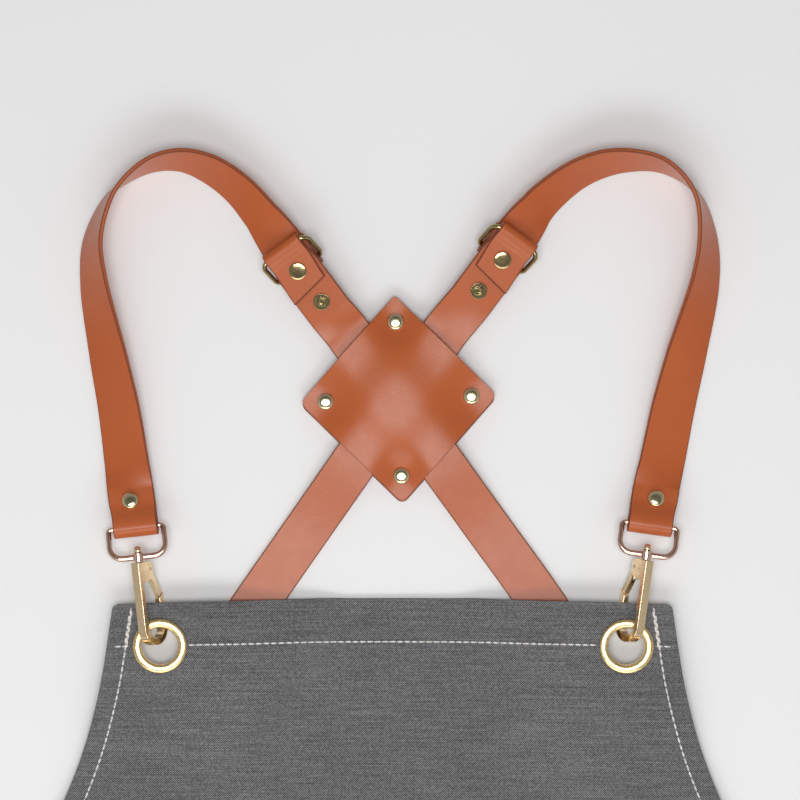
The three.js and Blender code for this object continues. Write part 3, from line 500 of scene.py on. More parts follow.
def plated_finish(name, bright, dull, roughness):
    """Polished plate on zinc or brass: mirror-like with faint rubbing that dulls it in places."""
    finish, add, where = new_finish(name)
    rub_span = 2.5
    rub = add("TexNoise", {"Vector": where, "Scale": per_mm(rub_span), "Detail": 2, "Roughness": 0.5})
    colour = add("Mix", {"Factor": rub, "A": linear(bright), "B": linear(dull)}, data_type="RGBA")
    rough = add("MapRange", {"Value": rub, "From Min": 0.3, "From Max": 0.75,
                             "To Min": roughness * 0.75, "To Max": roughness * 1.5})
    relief = add("Bump", {"Strength": 0.03, "Distance": 0.05 * MM, "Height": rub})
    surface = add("BsdfPrincipled", {
        "Base Color": colour, "Metallic": 1.0, "Roughness": rough, "Normal": relief})
    add("OutputMaterial", {"Surface": surface})
    return finish


def thread_finish():
    """Off-white spun polyester thread: matt and slightly hairy, with its twist as fine ridges."""
    finish, add, where = new_finish("off_white_thread")
    twist = 0.9
    ply = add("TexWave", {"Vector": where, "Scale": per_mm(twist) / math.tau, "Distortion": 1.5},
              wave_type="BANDS", bands_direction="DIAGONAL").outputs["Fac"]
    colour = add("Mix", {"Factor": ply, "A": linear("#C9C3BF"), "B": linear("#EFECE8")}, data_type="RGBA")
    relief = add("Bump", {"Strength": 0.5, "Distance": 0.12 * MM, "Height": ply})
    surface = add("BsdfPrincipled", {
        "Base Color": colour, "Roughness": 0.8, "Sheen Weight": 0.2, "Normal": relief})
    add("OutputMaterial", {"Surface": surface})
    return finish


def floor_finish():
    """Pale matt studio paper, barely clouded."""
    finish, add, where = new_finish("pale_paper")
    cloud_span = 400
    cloud = add("TexNoise", {"Vector": where, "Scale": per_mm(cloud_span), "Detail": 2})
    colour = add("Mix", {"Factor": cloud, "A": linear("#EDEDED"), "B": linear("#F1F1F1")}, data_type="RGBA")
    surface = add("BsdfPrincipled", {"Base Color": colour, "Roughness": 0.95, "Specular IOR Level": 0.1})
    add("OutputMaterial", {"Surface": surface})
    return finish


DENIM = denim_finish()
TAN_LEATHER = leather_finish()
LEATHER_EDGE = cut_edge_finish("stained_leather_edge", "#96451E", "#BC6030")
# Dark corner line on strap and patch edges: partly edge stain, partly painted shade along edges that fall
# into shade.
EDGE_STAIN_AND_SHADE = cut_edge_finish("stain_and_painted_shade_on_leather_corner", "#662A11", "#853E1C")
BRIGHT_GOLD = plated_finish("bright_gold_plate", "#F7E2B0", "#EBC988", 0.25)
PALE_GOLD = plated_finish("pale_gold_plate", "#E8DCB8", "#D3C191", 0.15)
CHAMPAGNE_GOLD = plated_finish("champagne_gold_plate", "#FFE8C4", "#F3D2A4", 0.2)
# Darker copy of the pale gold for the ring, tab caps and studs: painted shade standing in for their dim
# reflections.
SHADED_PALE_GOLD = plated_finish("shaded_pale_gold_plate", "#BFAE82", "#97865B", 0.13)
ROSE_GOLD = plated_finish("rose_gold_plate", "#EDCFBF", "#DBB19E", 0.14)
THREAD = thread_finish()
LEATHERS = (TAN_LEATHER, LEATHER_EDGE, EDGE_STAIN_AND_SHADE)
CUT_EDGE = 1
EDGE_LINE = 2


# Denim panel

def corner_inset(down):
    """How far the bib's rounded top corners draw the side in."""
    if down >= PANEL.corner:
        return 0
    return PANEL.corner - math.sqrt(PANEL.corner ** 2 - (PANEL.corner - down) ** 2)


def panel_half(down):
    if down >= PANEL.waist_down:
        return PANEL.waist_half
    curve = PANEL.waist_half - PANEL.half_top - PANEL.flare * PANEL.waist_down
    bend = max(0, down - PANEL.curve_from) / (PANEL.waist_down - PANEL.curve_from)
    return PANEL.half_top + PANEL.flare * down + curve * bend ** 2


def side_hem(down):
    if down >= PANEL.waist_down:
        return PANEL.side_hem
    return PANEL.side_hem * math.hypot(1, panel_half(down) - panel_half(down - 1))


def waist_rivet_plan(side):
    route = BACK_ROUTES[side]
    return route.waist - (route.waist - route.edge).normalized() * WAIST_RIVET_INSET


WAIST_ENDS = [waist_rivet_plan(side) for side in SIDES]


def cloth_lift(x, down):
    """How far the cloth's underside is held off the table."""
    point = Vector((x, PANEL.top_y - down))
    fade = 1 - smooth(down, *RIDGE_FADE)
    supports = [fade * bump(off_line(point, route.edge, route.waist), STRAP_RIDGE)
                for route in BACK_ROUTES.values()]
    supports += [bump(math.hypot(x - at.x, down - at.down), CLASP_MOUND) for at in GROMMETS.values()]
    supports += [bump((point - end).length, WAIST_MOUND) for end in WAIST_ENDS]
    for fold in SKIRT_FOLDS:
        across = (x - fold.x) * math.cos(fold.turn) + (down - fold.down) * math.sin(fold.turn)
        along = (down - fold.down) * math.cos(fold.turn) - (x - fold.x) * math.sin(fold.turn)
        narrow = 1 - smooth(abs(across), 0, fold.half_width)
        supports.append(fold.height * narrow * (1 - smooth(abs(along), 0, fold.half_length)))
    return sum(value ** SUPPORT_BLEND for value in supports) ** (1 / SUPPORT_BLEND)


def cloth_ripple(x, down):
    """Slight unevenness of the lying cloth, and puckers beside the seams."""
    near_metal = min(math.hypot(x - at.x, down - at.down) for at in GROMMETS.values())
    free = smooth(near_metal, RIPPLE.clear_from, RIPPLE.clear_to)
    wave = noise.noise(Vector((x, down, 0)) / RIPPLE.span) + 1
    seams = ((down - PANEL.top_hem, x), (panel_half(down) - side_hem(down) - abs(x), down),
             (PANEL.length - PANEL.bottom_hem - down, x))
    pucker = 0
    for off, along in seams:
        drift = PUCKER.drift * noise.noise(Vector((along, x, down)) / PUCKER.drift_span)
        ridge = (1 + math.sin(math.tau * along / PUCKER.pitch + drift)) / 2
        pucker += ridge * math.exp(-(off / PUCKER.reach) ** 2)
    return free * (RIPPLE.height * wave / 2 + PUCKER.height * pucker)


def panel_front(x, down):
    """Height of the cloth's front face."""
    from_edge = min(down - PANEL.top_hem, panel_half(down) - abs(x) - PANEL.side_hem,
                    PANEL.length - down - PANEL.bottom_hem)
    thick = lerp(HEM, CLOTH, smooth(from_edge, 0, PANEL.hem_ease))
    return thick + cloth_lift(x, down) + cloth_ripple(x, down)


def panel_point(x, down):
    """A point of the front face. The bib's top edge bows up a little towards its middle."""
    bow = PANEL.crown * (PANEL.crown_level - (x / PANEL.half_top) ** 2)
    bow *= 1 - smooth(down, 0, PANEL.crown_fade)
    return Vector((x, PANEL.top_y - down + bow, panel_front(x, down)))


def panel_rows():
    rows = [0.0]
    for end, pitch in PANEL_RUNS:
        start = rows[-1]
        count = max(1, round((end - start) / pitch))
        rows += [lerp(start, end, (i + 1) / count) for i in range(count)]
    return rows


def panel_columns(down):
    """Columns across one row as (x, whether the side hem is there)."""
    half = panel_half(down) - corner_inset(down)
    hem = side_hem(down)
    field = panel_half(down) - hem - PANEL.hem_step
    turned_in = hem - panel_half(down)
    left = [(lerp(-half, turned_in, i / HEM_COLUMNS), True) for i in range(HEM_COLUMNS + 1)]
    middle = [(lerp(-field, field, i / FIELD_COLUMNS), False) for i in range(FIELD_COLUMNS + 1)]
    return left + middle + [(-x, True) for x, _ in reversed(left)]


def is_hem_row(down):
    return down <= PANEL.top_hem or down >= PANEL.length - PANEL.bottom_hem


def make_panel():
    rows = panel_rows()
    columns = [panel_columns(down) for down in rows]
    wide = len(columns[0])
    bm = bmesh.new()
    thickness = bm.verts.layers.deform.verify()
    bmesh.ops.create_grid(bm, x_segments=wide - 1, y_segments=len(rows) - 1, size=1)
    for vert in bm.verts:
        row = round((1 - vert.co.y) / 2 * (len(rows) - 1))
        x, side = columns[row][round((vert.co.x + 1) / 2 * (wide - 1))]
        vert[thickness][0] = 1 if side or is_hem_row(rows[row]) else CLOTH / HEM
        vert.co = panel_point(x, rows[row])
    for grommet in GROMMETS.values():
        cut_round_hole(bm, panel_point(grommet.x, grommet.down))
    bmesh.ops.recalc_face_normals(bm, faces=bm.faces)
    panel = set_down(bm, "apron_denim", [DENIM], ["apron_panel"])
    panel.vertex_groups.new(name="thickness")
    shell = thicken(panel, HEM, -1)
    shell.vertex_group = "thickness"
    shell.use_even_offset = False
    soften(panel, CLOTH_ROUND.width, CLOTH_ROUND.segments, SHEET_EDGE_ANGLE)
    return panel


def cut_round_hole(bm, centre):
    """Opens the cloth inside a grommet and draws the hole's rim on to a circle."""
    inside = [vert for vert in bm.verts if (vert.co - centre).xy.length < CLOTH_HOLE]
    bmesh.ops.delete(bm, geom=inside, context="VERTS")
    for vert in bm.verts:
        away = (vert.co - centre).xy
        if vert.is_boundary and away.length < 2 * CLOTH_HOLE:
            vert.co.xy = centre.xy + away.normalized() * CLOTH_HOLE


def side_seam(sign, first, last, offset=0.0):
    """Points a stitch apart down one side hem."""
    seam = []
    down = first
    while down < last:
        seam.append((sign * (panel_half(down) - side_hem(down) + offset), down))
        slope = panel_half(down + 1) - panel_half(down)
        down += STITCH.pitch / math.hypot(1, slope)
    return seam


def seam_lines():
    """Each seam as (x, down) points a stitch apart: top and bottom hems, side hems and their back-tacks."""
    for down in (PANEL.top_hem, PANEL.length - PANEL.bottom_hem):
        half = panel_half(down) - STITCH.pitch
        count = round(2 * half / STITCH.pitch)
        yield [(lerp(-half, half, i / count), down) for i in range(count + 1)]
    for sign in (-1, 1):
        yield side_seam(sign, STITCH.pitch / 2, PANEL.length - STITCH.pitch / 2)
        for offset in BACK_TACK.offsets:
            yield side_seam(sign, BACK_TACK.first + 2 * offset, BACK_TACK.last, offset)


def stitch_places():
    """A matrix for each stitch, leaving out those that an eyelet covers."""
    size = Matrix.Diagonal((STITCH.length, STITCH.width, STITCH.height, 1))
    for seam in seam_lines():
        for start, end in zip(seam, seam[1:]):
            middle = ((start[0] + end[0]) / 2, (start[1] + end[1]) / 2)
            off = min(math.hypot(middle[0] - at.x, middle[1] - at.down) for at in GROMMETS.values())
            if off > EYELET.face + STITCH.length / 2:
                along = (panel_point(*end) - panel_point(*start)).normalized()
                across = UP.cross(along).normalized()
                at = panel_point(*middle) + UP * (STITCH.height / 2 - STITCH.sunk)
                yield axes_at(at, along, across, along.cross(across)) @ size


def make_stitches():
    blank = bmesh.new()
    bmesh.ops.create_uvsphere(blank, u_segments=STITCH.segments, v_segments=STITCH.rings, radius=0.5,
                              matrix=Matrix.Rotation(math.pi / 2, 4, "Y"))
    bm = bmesh.new()
    for place in stitch_places():
        stitch = bpy.data.meshes.new("stitch")
        blank.to_mesh(stitch)
        stitch.transform(place)
        bm.from_mesh(stitch)
        bpy.data.meshes.remove(stitch)
    blank.free()
    return set_down(bm, "hem_stitches", [THREAD])


# Leather straps

Station = namedtuple("Station", "centre across normal width")


def strap_frame(along, tilt):
    """Across and normal directions of a strap that travels along and is tilted about its run."""
    angle = math.radians(tilt)
    right = along.cross(UP).normalized()
    up = right.cross(along).normalized()
    across = right * math.cos(angle) + up * math.sin(angle)
    return across, up * math.cos(angle) - right * math.sin(angle)


def fold_stations(bar, out, main, across, wire, tail, straight, sign, fold_width=STRAP_WIDTH,
                  slack=0, settled=FOLD.settled):
    """Stations of a strap end folded round a bar, from its tail to its main layer.
    out leads away from the bar along the strap, main is the side that the main layer lies on."""
    bend = wire + GAP + slack + LEATHER / 2
    rest = (LEATHER + GAP) / 2
    steps = []
    for end, side in ((tail, -1), (straight, 1)):
        count = round(end / FOLD.pitch)
        runs = [end * i / count for i in range(1, count + 1)]
        layer = [(s, side * lerp(bend, rest, smooth(s, FOLD.leaves, settled))) for s in runs]
        if side < 0:
            steps += reversed(layer)
            steps += arc((0, 0), bend, -90, -270, FOLD.arc_steps)
        else:
            steps += layer
    stations = []
    for i, (s, n) in enumerate(steps):
        before = steps[max(i - 1, 0)]
        after = steps[min(i + 1, len(steps) - 1)]
        run = Vector((after[0] - before[0], after[1] - before[1])).normalized()
        normal = (main * run.x - out * run.y) * sign
        width = lerp(fold_width, STRAP_WIDTH, smooth(s, FOLD.narrow_to, FOLD.full_from))
        stations.append(Station(bar + out * s + main * n, across, normal, width))
    return stations


def route_point(points, t):
    """Point at t on a smooth curve through points, t being 1 for each span."""
    i = min(int(t), len(points) - 2)
    p1, p2 = points[i], points[i + 1]
    p0 = points[i - 1] if i else p1 * 2 - p2
    p3 = points[i + 2] if i + 2 < len(points) else p2 * 2 - p1
    d0, d1, d2 = (math.sqrt((b - a).length) for a, b in ((p0, p1), (p1, p2), (p2, p3)))
    leave = ((p1 - p0) / d0 - (p2 - p0) / (d0 + d1) + (p2 - p1) / d1) * d1
    reach = ((p2 - p1) / d1 - (p3 - p1) / (d1 + d2) + (p3 - p2) / d2) * d1
    w = t - i
    ends = p1 * (2 * w ** 3 - 3 * w ** 2 + 1) + p2 * (3 * w ** 2 - 2 * w ** 3)
    return ends + leave * (w ** 3 - 2 * w ** 2 + w) + reach * (w ** 3 - w ** 2)


def route_stations(points, tilts, skip_end):
    """Stations along a smooth route, leaving out its first span and as many at the end as skip_end says."""
    stations = []
    last = (len(points) - 1 - skip_end) * ROUTE.per_span
    for i in range(ROUTE.per_span + 1, last + (0 if skip_end else 1)):
        t = i / ROUTE.per_span
        row = min(int(t), len(points) - 2)
        tilt = lerp(tilts[row], tilts[row + 1], t - row if row > 1 else smooth(t - row, 0, 1))
        ahead = route_point(points, min(t + ROUTE.look, len(points) - 1))
        along = (ahead - route_point(points, t - ROUTE.look)).normalized()
        stations.append(Station(route_point(points, t), *strap_frame(along, tilt), STRAP_WIDTH))
    return stations


def finish_edges(piece, thick):
    """Gives leather its thickness, a stained cut edge and a dark line on its rounded corners that is partly
    stain and partly painted shade.
    """
    thicken(piece, thick, 0, rim_finish=CUT_EDGE)
    soften(piece, LEATHER_ROUND, angle=SHEET_EDGE_ANGLE).material = EDGE_LINE


def make_strap(stations, node):
    """A leather strap: a flat grid laid along its stations and given its thickness and rounded edges, whose
    dark corner line is partly stain and partly painted shade.
    """
    bm = bmesh.new()
    bmesh.ops.create_grid(bm, x_segments=STRAP_COLUMNS, y_segments=len(stations) - 1, size=1)
    # The tail's end row takes the dark corner finish: painted shade for the shadow line at the folded end,
    # partly stain.
    for face in bm.faces:
        if min(vert.co.y for vert in face.verts) < CUT_TAIL:
            face.material_index = EDGE_LINE
    for vert in bm.verts:
        station = stations[round((vert.co.y + 1) / 2 * (len(stations) - 1))]
        vert.co = station.centre + station.across * (vert.co.x * station.width / 2)
    strap = set_down(bm, f"{node}_leather", LEATHERS, [node])
    finish_edges(strap, LEATHER)


def clasp_frame(side):
    """Directions of one clasp: along to the nose, sideways to the gate, and its loop's plane."""
    clasp = CLASPS[side]
    lean = math.radians(clasp.lean)
    origin = Vector((clasp.x, PANEL.top_y + clasp.above, SWIVEL_HEIGHT))
    v = Vector((math.sin(lean), -math.cos(lean), 0))
    across = Vector((math.cos(lean), math.sin(lean), 0))
    u = across * (clasp.side * math.sin(HOOK_ROLL)) - UP * math.cos(HOOK_ROLL)
    strapward = -v * math.cos(LOOP.drop) - UP * math.sin(LOOP.drop)
    bar = origin + strapward * LOOP.length
    front = across.cross(strapward)
    return Sizes(origin=origin, v=v, u=u, w=u.cross(v), across=across, strapward=strapward,
                 front=front, bar=bar)


def tab_frame(side):
    """Directions of one folded tab: down the strap, across it, to the viewer, and its ring's two bars."""
    tab = TABS[side]
    along = Vector((*tab.along, -TAB_PITCH)).normalized()
    across, normal = strap_frame(along, tab.tilt)
    far_bar = tab.bar + along * RING.reach - normal * RING.drop
    return Sizes(bar=tab.bar, along=along, across=across, normal=normal, far_bar=far_bar)


def make_shoulder_strap(side):
    clasp = clasp_frame(side)
    tab = tab_frame(side)
    folded = fold_stations(clasp.bar, clasp.strapward, clasp.front, clasp.across, LOOP.wire,
                           STRAP_END.tail, STRAP_END.straight, 1, STRAP_END.fold_width,
                           STRAP_END.slack, STRAP_END.settled)
    start = []
    for station in folded:
        run = (station.centre - clasp.bar).dot(clasp.strapward)
        sway = CLASPS[side].side * STRAP_END.sway * smooth(run, FOLD.leaves, STRAP_END.straight)
        start.append(station._replace(centre=station.centre - clasp.across * sway))
    finish = fold_stations(tab.far_bar, -tab.along, tab.normal, -tab.across, RING.wire,
                           RING_END.tail, RING_END.straight, -1)[::-1]
    end_tilt = TABS[side].tilt + 180 * CLASPS[side].side
    points = [start[-3].centre, start[-1].centre]
    tilts = [0, 0]
    for lie in SHOULDER_ROUTES[side]:
        angle = math.radians(lie.tilt)
        reach = (STRAP_WIDTH * abs(math.sin(angle)) + LEATHER * abs(math.cos(angle))) / 2
        points.append(Vector((lie.x, lie.y, reach + lie.lift)))
        tilts.append(lie.tilt)
    points += [finish[0].centre, finish[2].centre]
    tilts += [end_tilt, end_tilt]
    stations = start + route_stations(points, tilts, 1) + finish
    make_strap(stations, f"shoulder_strap_{side}")
    rivet_at = clasp.bar + clasp.strapward * STRAP_END.rivet
    rivet_at -= clasp.across * (CLASPS[side].side * STRAP_END.rivet_sway)
    make_rivet(f"strap_rivet_{side}", DOME_CAP, 2 * LEATHER + GAP, on_axis(rivet_at, clasp.front))


def skewed_flap(station, tab, sign):
    """A station of the tab's flap, which comes back narrower, a little to one side and cut at a slant."""
    run = (station.centre - tab.bar).dot(tab.along)
    share = smooth(run, FOLD.settled, TAB.flap)
    centre = station.centre + tab.across * (sign * TAB.flap_shift * share)
    across = tab.across + tab.along * (sign * TAB.flap_slant * share)
    return Station(centre, across, station.normal, TAB.fold_width)


def make_back_strap(side):
    tab = tab_frame(side)
    route = BACK_ROUTES[side]
    folded = fold_stations(tab.bar, tab.along, -tab.normal, tab.across, RING.wire,
                           TAB.flap, TAB.straight, -1, TAB.fold_width)
    flap_count = round(TAB.flap / FOLD.pitch)
    start = [skewed_flap(station, tab, CLASPS[side].side) for station in folded[:flap_count]]
    start += folded[flap_count:]
    points = [start[-3].centre, start[-1].centre]

    def add(origin, towards, distance, z):
        at = origin + (towards - origin).normalized() * distance
        points.append(Vector((*at, z)))

    for row in CROSSING_ROWS:
        add(CROSSING, route.edge, row.along, STRAP_Z.under + (row.over if route.over else row.under))
    add(CROSSING, route.edge, FLOOR_FROM_CROSSING, STRAP_Z.floor)
    add(route.edge, route.waist, 0, STRAP_Z.floor)
    add(route.waist, route.edge, WAIST_RISE_FROM, STRAP_Z.floor)
    add(route.waist, route.edge, 2 * WAIST_RIVET_INSET, STRAP_Z.waist)
    add(route.waist, route.edge, 0, STRAP_Z.waist)
    tilts = [TABS[side].tilt] * 2 + [0] * (len(points) - 2)
    stations = start + route_stations(points, tilts, 0)
    make_strap(stations, f"back_strap_{side}")
    cap_at = tab.bar + tab.along * TAB.cap
    stud_at = tab.bar + tab.along * TAB.stud - tab.normal * ((LEATHER + GAP) / 2)
    make_rivet(f"tab_rivet_{side}", LOW_CAP, 2 * LEATHER + GAP, on_axis(cap_at, tab.normal), SHADED_PALE_GOLD)
    make_stud(f"snap_stud_{side}", on_axis(stud_at, tab.normal))


# Patch

def rivet_plan(node):
    """Where a rivet that stands upright is, seen from above."""
    low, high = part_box(node)
    return (low + high).xy / (2 * MM)


PATCH_PINS = [rivet_plan(node) for node in PATCH_RIVETS]


def patch_swell(point):
    """How far the front diamond stands over the two straps under it."""
    rises = [bump(off_line(point, CROSSING, route.edge), PATCH_SWELL) for route in BACK_ROUTES.values()]
    swell = sum(rise ** PATCH_SWELL.blend for rise in rises) ** (1 / PATCH_SWELL.blend)
    swell -= sum(bump((point - Vector((dent.x, dent.y))).length, dent) for dent in PATCH_DENTS)
    press = max(bump((point - pin).length, PATCH_PRESS) for pin in PATCH_PINS)
    return max(0, swell) * (1 - press)


def make_patch(node, cells, shift, bottom_at, settle=0):
    """A leather diamond with rounded corners, laid at the height that bottom_at gives and let settle."""
    bm = bmesh.new()
    bmesh.ops.create_grid(bm, x_segments=cells, y_segments=cells, size=1)
    for vert in bm.verts:
        p, q = vert.co.xy
        flat = Vector(((p - q) / 2 * PATCH.half_across, (p + q) / 2 * PATCH.half_up, 0))
        vert.co = flat @ Matrix.Rotation(-PATCH.turn, 3, "Z") + Vector((*PATCH.centre, 0))
        vert.co.y += shift
    round_corners(bm)
    for vert in bm.verts:
        vert.co.z = bottom_at(vert.co.xy) + PATCH.thick / 2
    for _ in range(settle):
        bmesh.ops.smooth_vert(bm, verts=bm.verts, factor=PATCH.settle_share, use_axis_z=True)
    patch = set_down(bm, f"{node}_leather", LEATHERS, [node])
    finish_edges(patch, PATCH.thick)
    return patch


def round_corners(bm):
    """Draws the rim points near each of a diamond's corners on to an arc, a tighter one at the top."""
    corners = [vert for vert in bm.verts if len(vert.link_edges) == 2]
    tips = [vert.co.copy() for vert in corners]
    rim = [vert for vert in bm.verts if vert.is_boundary]
    for i, tip in enumerate(tips):
        radius = PATCH.sharp if tip.y == max(other.y for other in tips) else PATCH.corner
        sides = [(tips[j] - tip) for j in range(len(tips)) if j != i]
        sides.sort(key=lambda side: side.length)
        half = sides[0].angle(sides[1]) / 2
        inward = (sides[0].normalized() + sides[1].normalized()).normalized()
        centre = tip + inward * (radius / math.sin(half))
        reach = radius / math.tan(half)
        for vert in rim:
            if (vert.co - tip).length < reach:
                vert.co = centre + (vert.co - centre).normalized() * radius


def make_patches():
    """The two diamonds round the crossing. The front one is handed on for its rivets."""
    rear_top = PATCH.bottom + PATCH.thick
    make_patch("patch_back", PATCH.rear_cells, PATCH.rear_shift, lambda point: PATCH.bottom)
    return make_patch("patch_front", PATCH.cells, 0,
                      lambda point: rear_top + GAP + patch_swell(point), PATCH.settle)


# Metal fittings

def cap_rows(cap, base):
    """Rows of a rivet's head from its rim to its crown."""
    rows = [(cap.radius, base)]
    for step in range(CAP.steps + 1):
        turn = math.pi / 2 * min(step / CAP.steps, CAP.crown)
        out = math.cos(turn) ** CAP.fullness
        up = math.sin(turn) ** CAP.fullness
        rows.append((cap.radius * out, base + cap.edge + cap.dome * up))
    return rows


def shank_rows(half):
    """Rows of a rivet's back and shank, up to the underside of its head."""
    bottom = -half - BACK_CAP.thick
    foot = BACK_CAP.radius - BACK_CAP.bevel
    return [(0, bottom), (foot, bottom), (BACK_CAP.radius, -half), (SHANK, -half), (SHANK, half)]


def make_rivet(node, cap, grip, place, finish=PALE_GOLD):
    half = grip / 2 + GAP
    rows = shank_rows(half) + cap_rows(cap, half)
    soften(set_metal(turned(rows, place), node, finish), METAL_SOFT)


def make_stud(node, place):
    """A spare snap stud: a collar with an open centre on a flat base."""
    half = LEATHER / 2 + GAP
    cap = STUD_CAP
    base = half + cap.edge
    crown = base + cap.collar_rise
    rows = shank_rows(half) + [
        (cap.radius, half), (cap.radius, base), (cap.collar, base), (cap.collar, crown),
        (cap.hole, crown), (cap.hole, crown - cap.depth), (0, crown - cap.depth)]
    soften(set_metal(turned(rows, place), node, SHADED_PALE_GOLD), cap.soft)


def make_standing_rivets(patch):
    """Rivets that stand upright: their place comes from the box of their own solid, and those of the
    patch grip the leather as it lies."""
    for node in PATCH_RIVETS + [f"waist_rivet_{side}" for side in SIDES]:
        low, high = (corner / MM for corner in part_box(node))
        plan = rivet_plan(node)
        top = high.z - DOME_CAP.edge - DOME_CAP.dome - GAP
        if node in PATCH_RIVETS:
            near = min(patch.data.vertices, key=lambda vert: (vert.co.xy / MM - plan).length)
            top = near.co.z / MM + PATCH.thick / 2
        bottom = low.z + BACK_CAP.thick + GAP
        make_rivet(node, DOME_CAP, top - bottom, Matrix.Translation((*plan, (top + bottom) / 2)))


def make_grommet(side):
    """A rolled eyelet through the cloth, and its washer behind."""
    low, high = (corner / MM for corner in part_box(f"bib_eyelet_{side}"))
    centre = Vector(((low.x + high.x) / 2, (low.y + high.y) / 2, high.z - EYELET.rise))
    behind = -HEM - 2 * GAP
    under = behind - GAP - WASHER.thick
    width = EYELET.face - EYELET.bore
    turns = [math.pi * step / EYELET.roll_steps for step in range(EYELET.roll_steps)]
    roll = [(EYELET.bore + width / 2 * (1 + math.cos(a)), EYELET.rise * math.sin(a) ** EYELET.roll_fullness)
            for a in turns]
    lip = under - EYELET.lip_thick
    rows = [(EYELET.bore, 0), (EYELET.bore, lip), (EYELET.lip, lip), (EYELET.lip, under - GAP),
            (EYELET.barrel, under - GAP), (EYELET.barrel, 0), *roll, (EYELET.bore, 0)]
    place = Matrix.Translation(centre)
    eyelet = set_metal(turned(rows, place, GROMMET_STEPS), f"bib_eyelet_{side}", BRIGHT_GOLD)
    soften(eyelet, METAL_SOFT, angle=EYELET.soft_angle)
    inner = EYELET.barrel + GAP
    rows = [(inner, under), (WASHER.outer, under), (WASHER.outer, behind), (inner, behind), (inner, under)]
    washer = set_metal(turned(rows, place, GROMMET_STEPS), f"bib_washer_{side}", BRIGHT_GOLD)
    soften(washer, METAL_SOFT)


def slant_v(u, offset):
    """The slanted joint between gate and nose runs at 45 degrees through the gate's end."""
    return GATE_END.u + GATE_END.v + offset * math.sqrt(2) - u


def hook_outline():
    half = HOOK.bar / 2
    middle = ((HOOK.spine + HOOK.tip) / 2, HOOK.nose_v)
    outer = (HOOK.tip - HOOK.spine) / 2 + half
    tip_out, tip_in = HOOK.tip + half, HOOK.tip - half
    body = HOOK_BODY
    return [
        (HOOK.spine - half, body.top), *arc(middle, outer, 180, 0, HOOK.bend_steps),
        (tip_out, slant_v(tip_out, GATE_END.gap)), (tip_in, slant_v(tip_in, GATE_END.gap)),
        *arc(middle, outer - HOOK.bar, 0, 180, HOOK.bend_steps),
        (HOOK.spine + half, body.end + body.chamfer),
        (PIVOT.u, body.end), (body.side, body.end - body.chamfer), (body.side, body.top + body.chamfer),
        (body.side - body.chamfer, body.top)]


def gate_outline():
    run = Vector((GATE_END.u - PIVOT.u, GATE_END.v - PIVOT.v)).normalized()
    ends = []
    for sign in (1, -1):
        start = Vector((PIVOT.u + sign * run.y * GATE.half, PIVOT.v - sign * run.x * GATE.half))
        travel = (GATE_END.u + GATE_END.v - start.x - start.y) / (run.x + run.y)
        ends.append((start, start + run * travel))
    return [ends[0][0], ends[0][1], ends[1][1], ends[1][0]]


def thin_tip(bm, plane):
    """Tapers the hook's nose to the gate's thickness where the two meet."""
    for vert in bm.verts:
        local = plane.inverted() @ vert.co
        if local.x > HOOK_BODY.side + GAP and local.y < HOOK.nose_v - HOOK.bar:
            local.z *= HOOK.taper
            vert.co = plane @ local


def disc_rows(radius, half):
    return [(0, -half), (radius, -half), (radius, half), (0, half)]


def make_loop(side, at, swivel):
    """A wire loop with a bored boss, which the hook's post turns in."""
    place = axes_at(at.origin, at.across, -at.strapward, -at.front)
    outline = rounded_loop(LOOP.width, LOOP.length, LOOP.low_corner, LOOP.top_corner)
    wire = swept_wire(LOOP.wire, [place @ station for station in outline])
    boss = turned(disc_rows(BOSS.radius, BOSS.half), swivel)
    bore = turned(disc_rows(BOSS.bore, 2 * BOSS.half), swivel)
    loop = set_down(combined(wire, ("UNION", boss), ("DIFFERENCE", bore)), f"clasp_loop_{side}_rose",
                    [ROSE_GOLD], [f"clasp_loop_{side}"])
    soften(loop, LOOP.soft, angle=LOOP.soft_angle)


def make_hook(side, swivel, plane):
    """The hook with its ball-headed post, slotted for the gate."""
    neck = -BOSS.half - GAP
    root = HOOK_BODY.top + POST.root
    turns = [POST.head_turn * step / POST.head_steps for step in range(POST.head_steps + 1)]
    ball = [(POST.head * math.sin(a), neck - POST.head_centre - POST.head * math.cos(a)) for a in turns]
    post = turned([*ball, (POST.radius, neck), (POST.radius, root), (0, root)], swivel)
    slot_u = HOOK.spine + HOOK.bar / 2 + GAP + GATE.slot_reach / 2
    slot_v = PIVOT.v - PIVOT.eye - GAP + GATE.slot_reach / 2
    slot_size = (GATE.slot_reach, GATE.slot_reach, GATE.slot)
    slot = block(slot_size, plane @ Matrix.Translation((slot_u, slot_v, 0)))
    blank = plate(hook_outline(), HOOK.thick, plane)
    shape = combined(blank, ("UNION", post), ("DIFFERENCE", slot))
    thin_tip(shape, plane)
    soften(set_metal(shape, f"clasp_hook_{side}", CHAMPAGNE_GOLD), HOOK.soft, angle=HOOK.soft_angle)


def make_gate(side, plane):
    """The gate, which rides on its own body, and the pin that it turns on."""
    pivot = plane @ Matrix.Translation((PIVOT.u, PIVOT.v, 0))
    eye = turned(disc_rows(PIVOT.eye, GATE.thick / 2), pivot)
    shape = combined(plate(gate_outline(), GATE.thick, plane), ("UNION", eye))
    gate = set_metal(shape, f"clasp_gate_{side}", CHAMPAGNE_GOLD, body=f"gate_{side}")
    soften(gate, GATE.soft, angle=HOOK.soft_angle)
    half = HOOK.thick / 2
    crown = half + PIVOT.pin_crown
    flat = PIVOT.pin * PIVOT.pin_flat
    rows = [(0, -crown), (flat, -half), (PIVOT.pin, -half), (PIVOT.pin, half), (flat, half), (0, crown)]
    set_metal(turned(rows, pivot), f"clasp_pin_{side}", PALE_GOLD)


def make_clasp(side):
    at = clasp_frame(side)
    swivel = on_axis(at.origin, at.v)
    plane = axes_at(at.origin, at.u, at.v, at.w)
    make_loop(side, at, swivel)
    make_hook(side, swivel, plane)
    make_gate(side, plane)


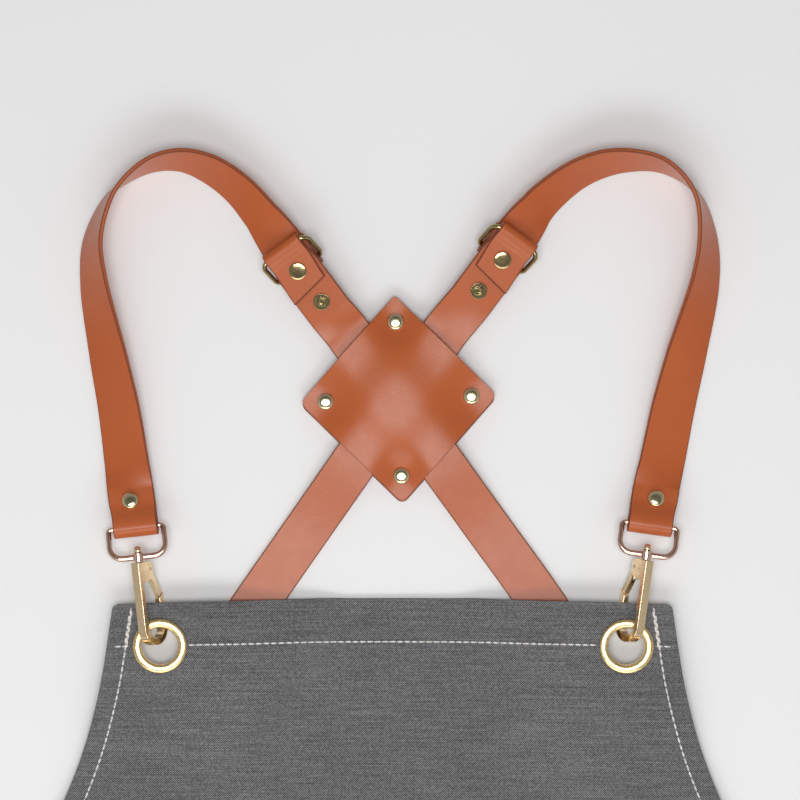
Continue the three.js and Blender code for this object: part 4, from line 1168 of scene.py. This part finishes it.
def make_ring(side):
    tab = tab_frame(side)
    run = tab.bar - tab.far_bar
    length = run.length
    run.normalize()
    place = axes_at(tab.bar, tab.across, run, tab.across.cross(run))
    outline = rounded_loop(RING.width, length, RING.near_corner, RING.far_corner)
    wire = swept_wire(RING.wire, [place @ station for station in outline])
    set_metal(wire, f"strap_ring_{side}", SHADED_PALE_GOLD)


# Studio

def make_camera():
    lens = bpy.data.cameras.new("camera")
    lens.lens = CAMERA.lens
    lens.sensor_width = CAMERA.sensor
    lens.clip_end = CAMERA.far
    camera = bpy.data.objects.new("camera", lens)
    camera.location = Vector((CAMERA.x, CAMERA.y, CAMERA.z)) * MM
    bpy.context.scene.collection.objects.link(camera)
    bpy.context.scene.camera = camera


def make_floor():
    bm = bmesh.new()
    bmesh.ops.create_grid(bm, x_segments=1, y_segments=1, size=FLOOR_HALF)
    floor = new_object(bm, "floor")
    floor.data.materials.append(floor_finish())
    floor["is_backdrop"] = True


def add_softbox(name, box):
    """An oval soft light that faces its target."""
    light = bpy.data.lights.new(name, "AREA")
    light.shape = "ELLIPSE"
    light.size, light.size_y = box.size
    light.energy = box.power
    lamp = bpy.data.objects.new(name, light)
    lamp.location = box.place
    aim = Vector(box.target) - Vector(box.place)
    lamp.rotation_euler = aim.to_track_quat("-Z", "Y").to_euler()
    bpy.context.scene.collection.objects.link(lamp)


def make_studio():
    """One softbox overhead and one low towards the hem. The dome is darker at its top, at the horizon and
    beyond the straps, so that flat and domed metal shows bright and dark bands."""
    world = bpy.data.worlds.new("studio")
    world.use_nodes = True
    world.node_tree.nodes.clear()
    add = partial(add_node, world.node_tree)
    way = add("TexCoord", {}).outputs["Generated"]
    parts = add("SeparateXYZ", {"Vector": way}).outputs
    low = add("MapRange", {"Value": parts["Z"], "From Min": 0.0, "From Max": 0.5,
                           "To Min": 0.27, "To Max": 0.56})
    high = add("MapRange", {"Value": parts["Z"], "From Min": 0.7, "From Max": 0.86,
                            "To Min": 1.0, "To Max": 0.32})
    north = add("MapRange", {"Value": parts["Y"], "From Min": -0.4, "From Max": 0.5,
                             "To Min": 1.05, "To Max": 0.6})
    band = add("Math", {0: low, 1: high}, operation="MULTIPLY")
    dome = add("Math", {0: band, 1: north}, operation="MULTIPLY")
    glow = add("Background", {"Color": (1, 1, 1, 1), "Strength": dome})
    add("OutputWorld", {"Surface": glow})
    bpy.context.scene.world = world
    for name, box in SOFTBOXES.items():
        add_softbox(name, box)
    bpy.context.scene.view_settings.view_transform = "Standard"


make_camera()
make_floor()
make_studio()
panel = make_panel()
stitches = make_stitches()
for side in SIDES:
    make_grommet(side)
    make_clasp(side)
    make_ring(side)
    make_shoulder_strap(side)
    make_back_strap(side)
make_standing_rivets(make_patches())

boxes = {"cad": cad_box, "visual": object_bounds()}
{name: [list(corner) for corner in box] for name, box in boxes.items()}
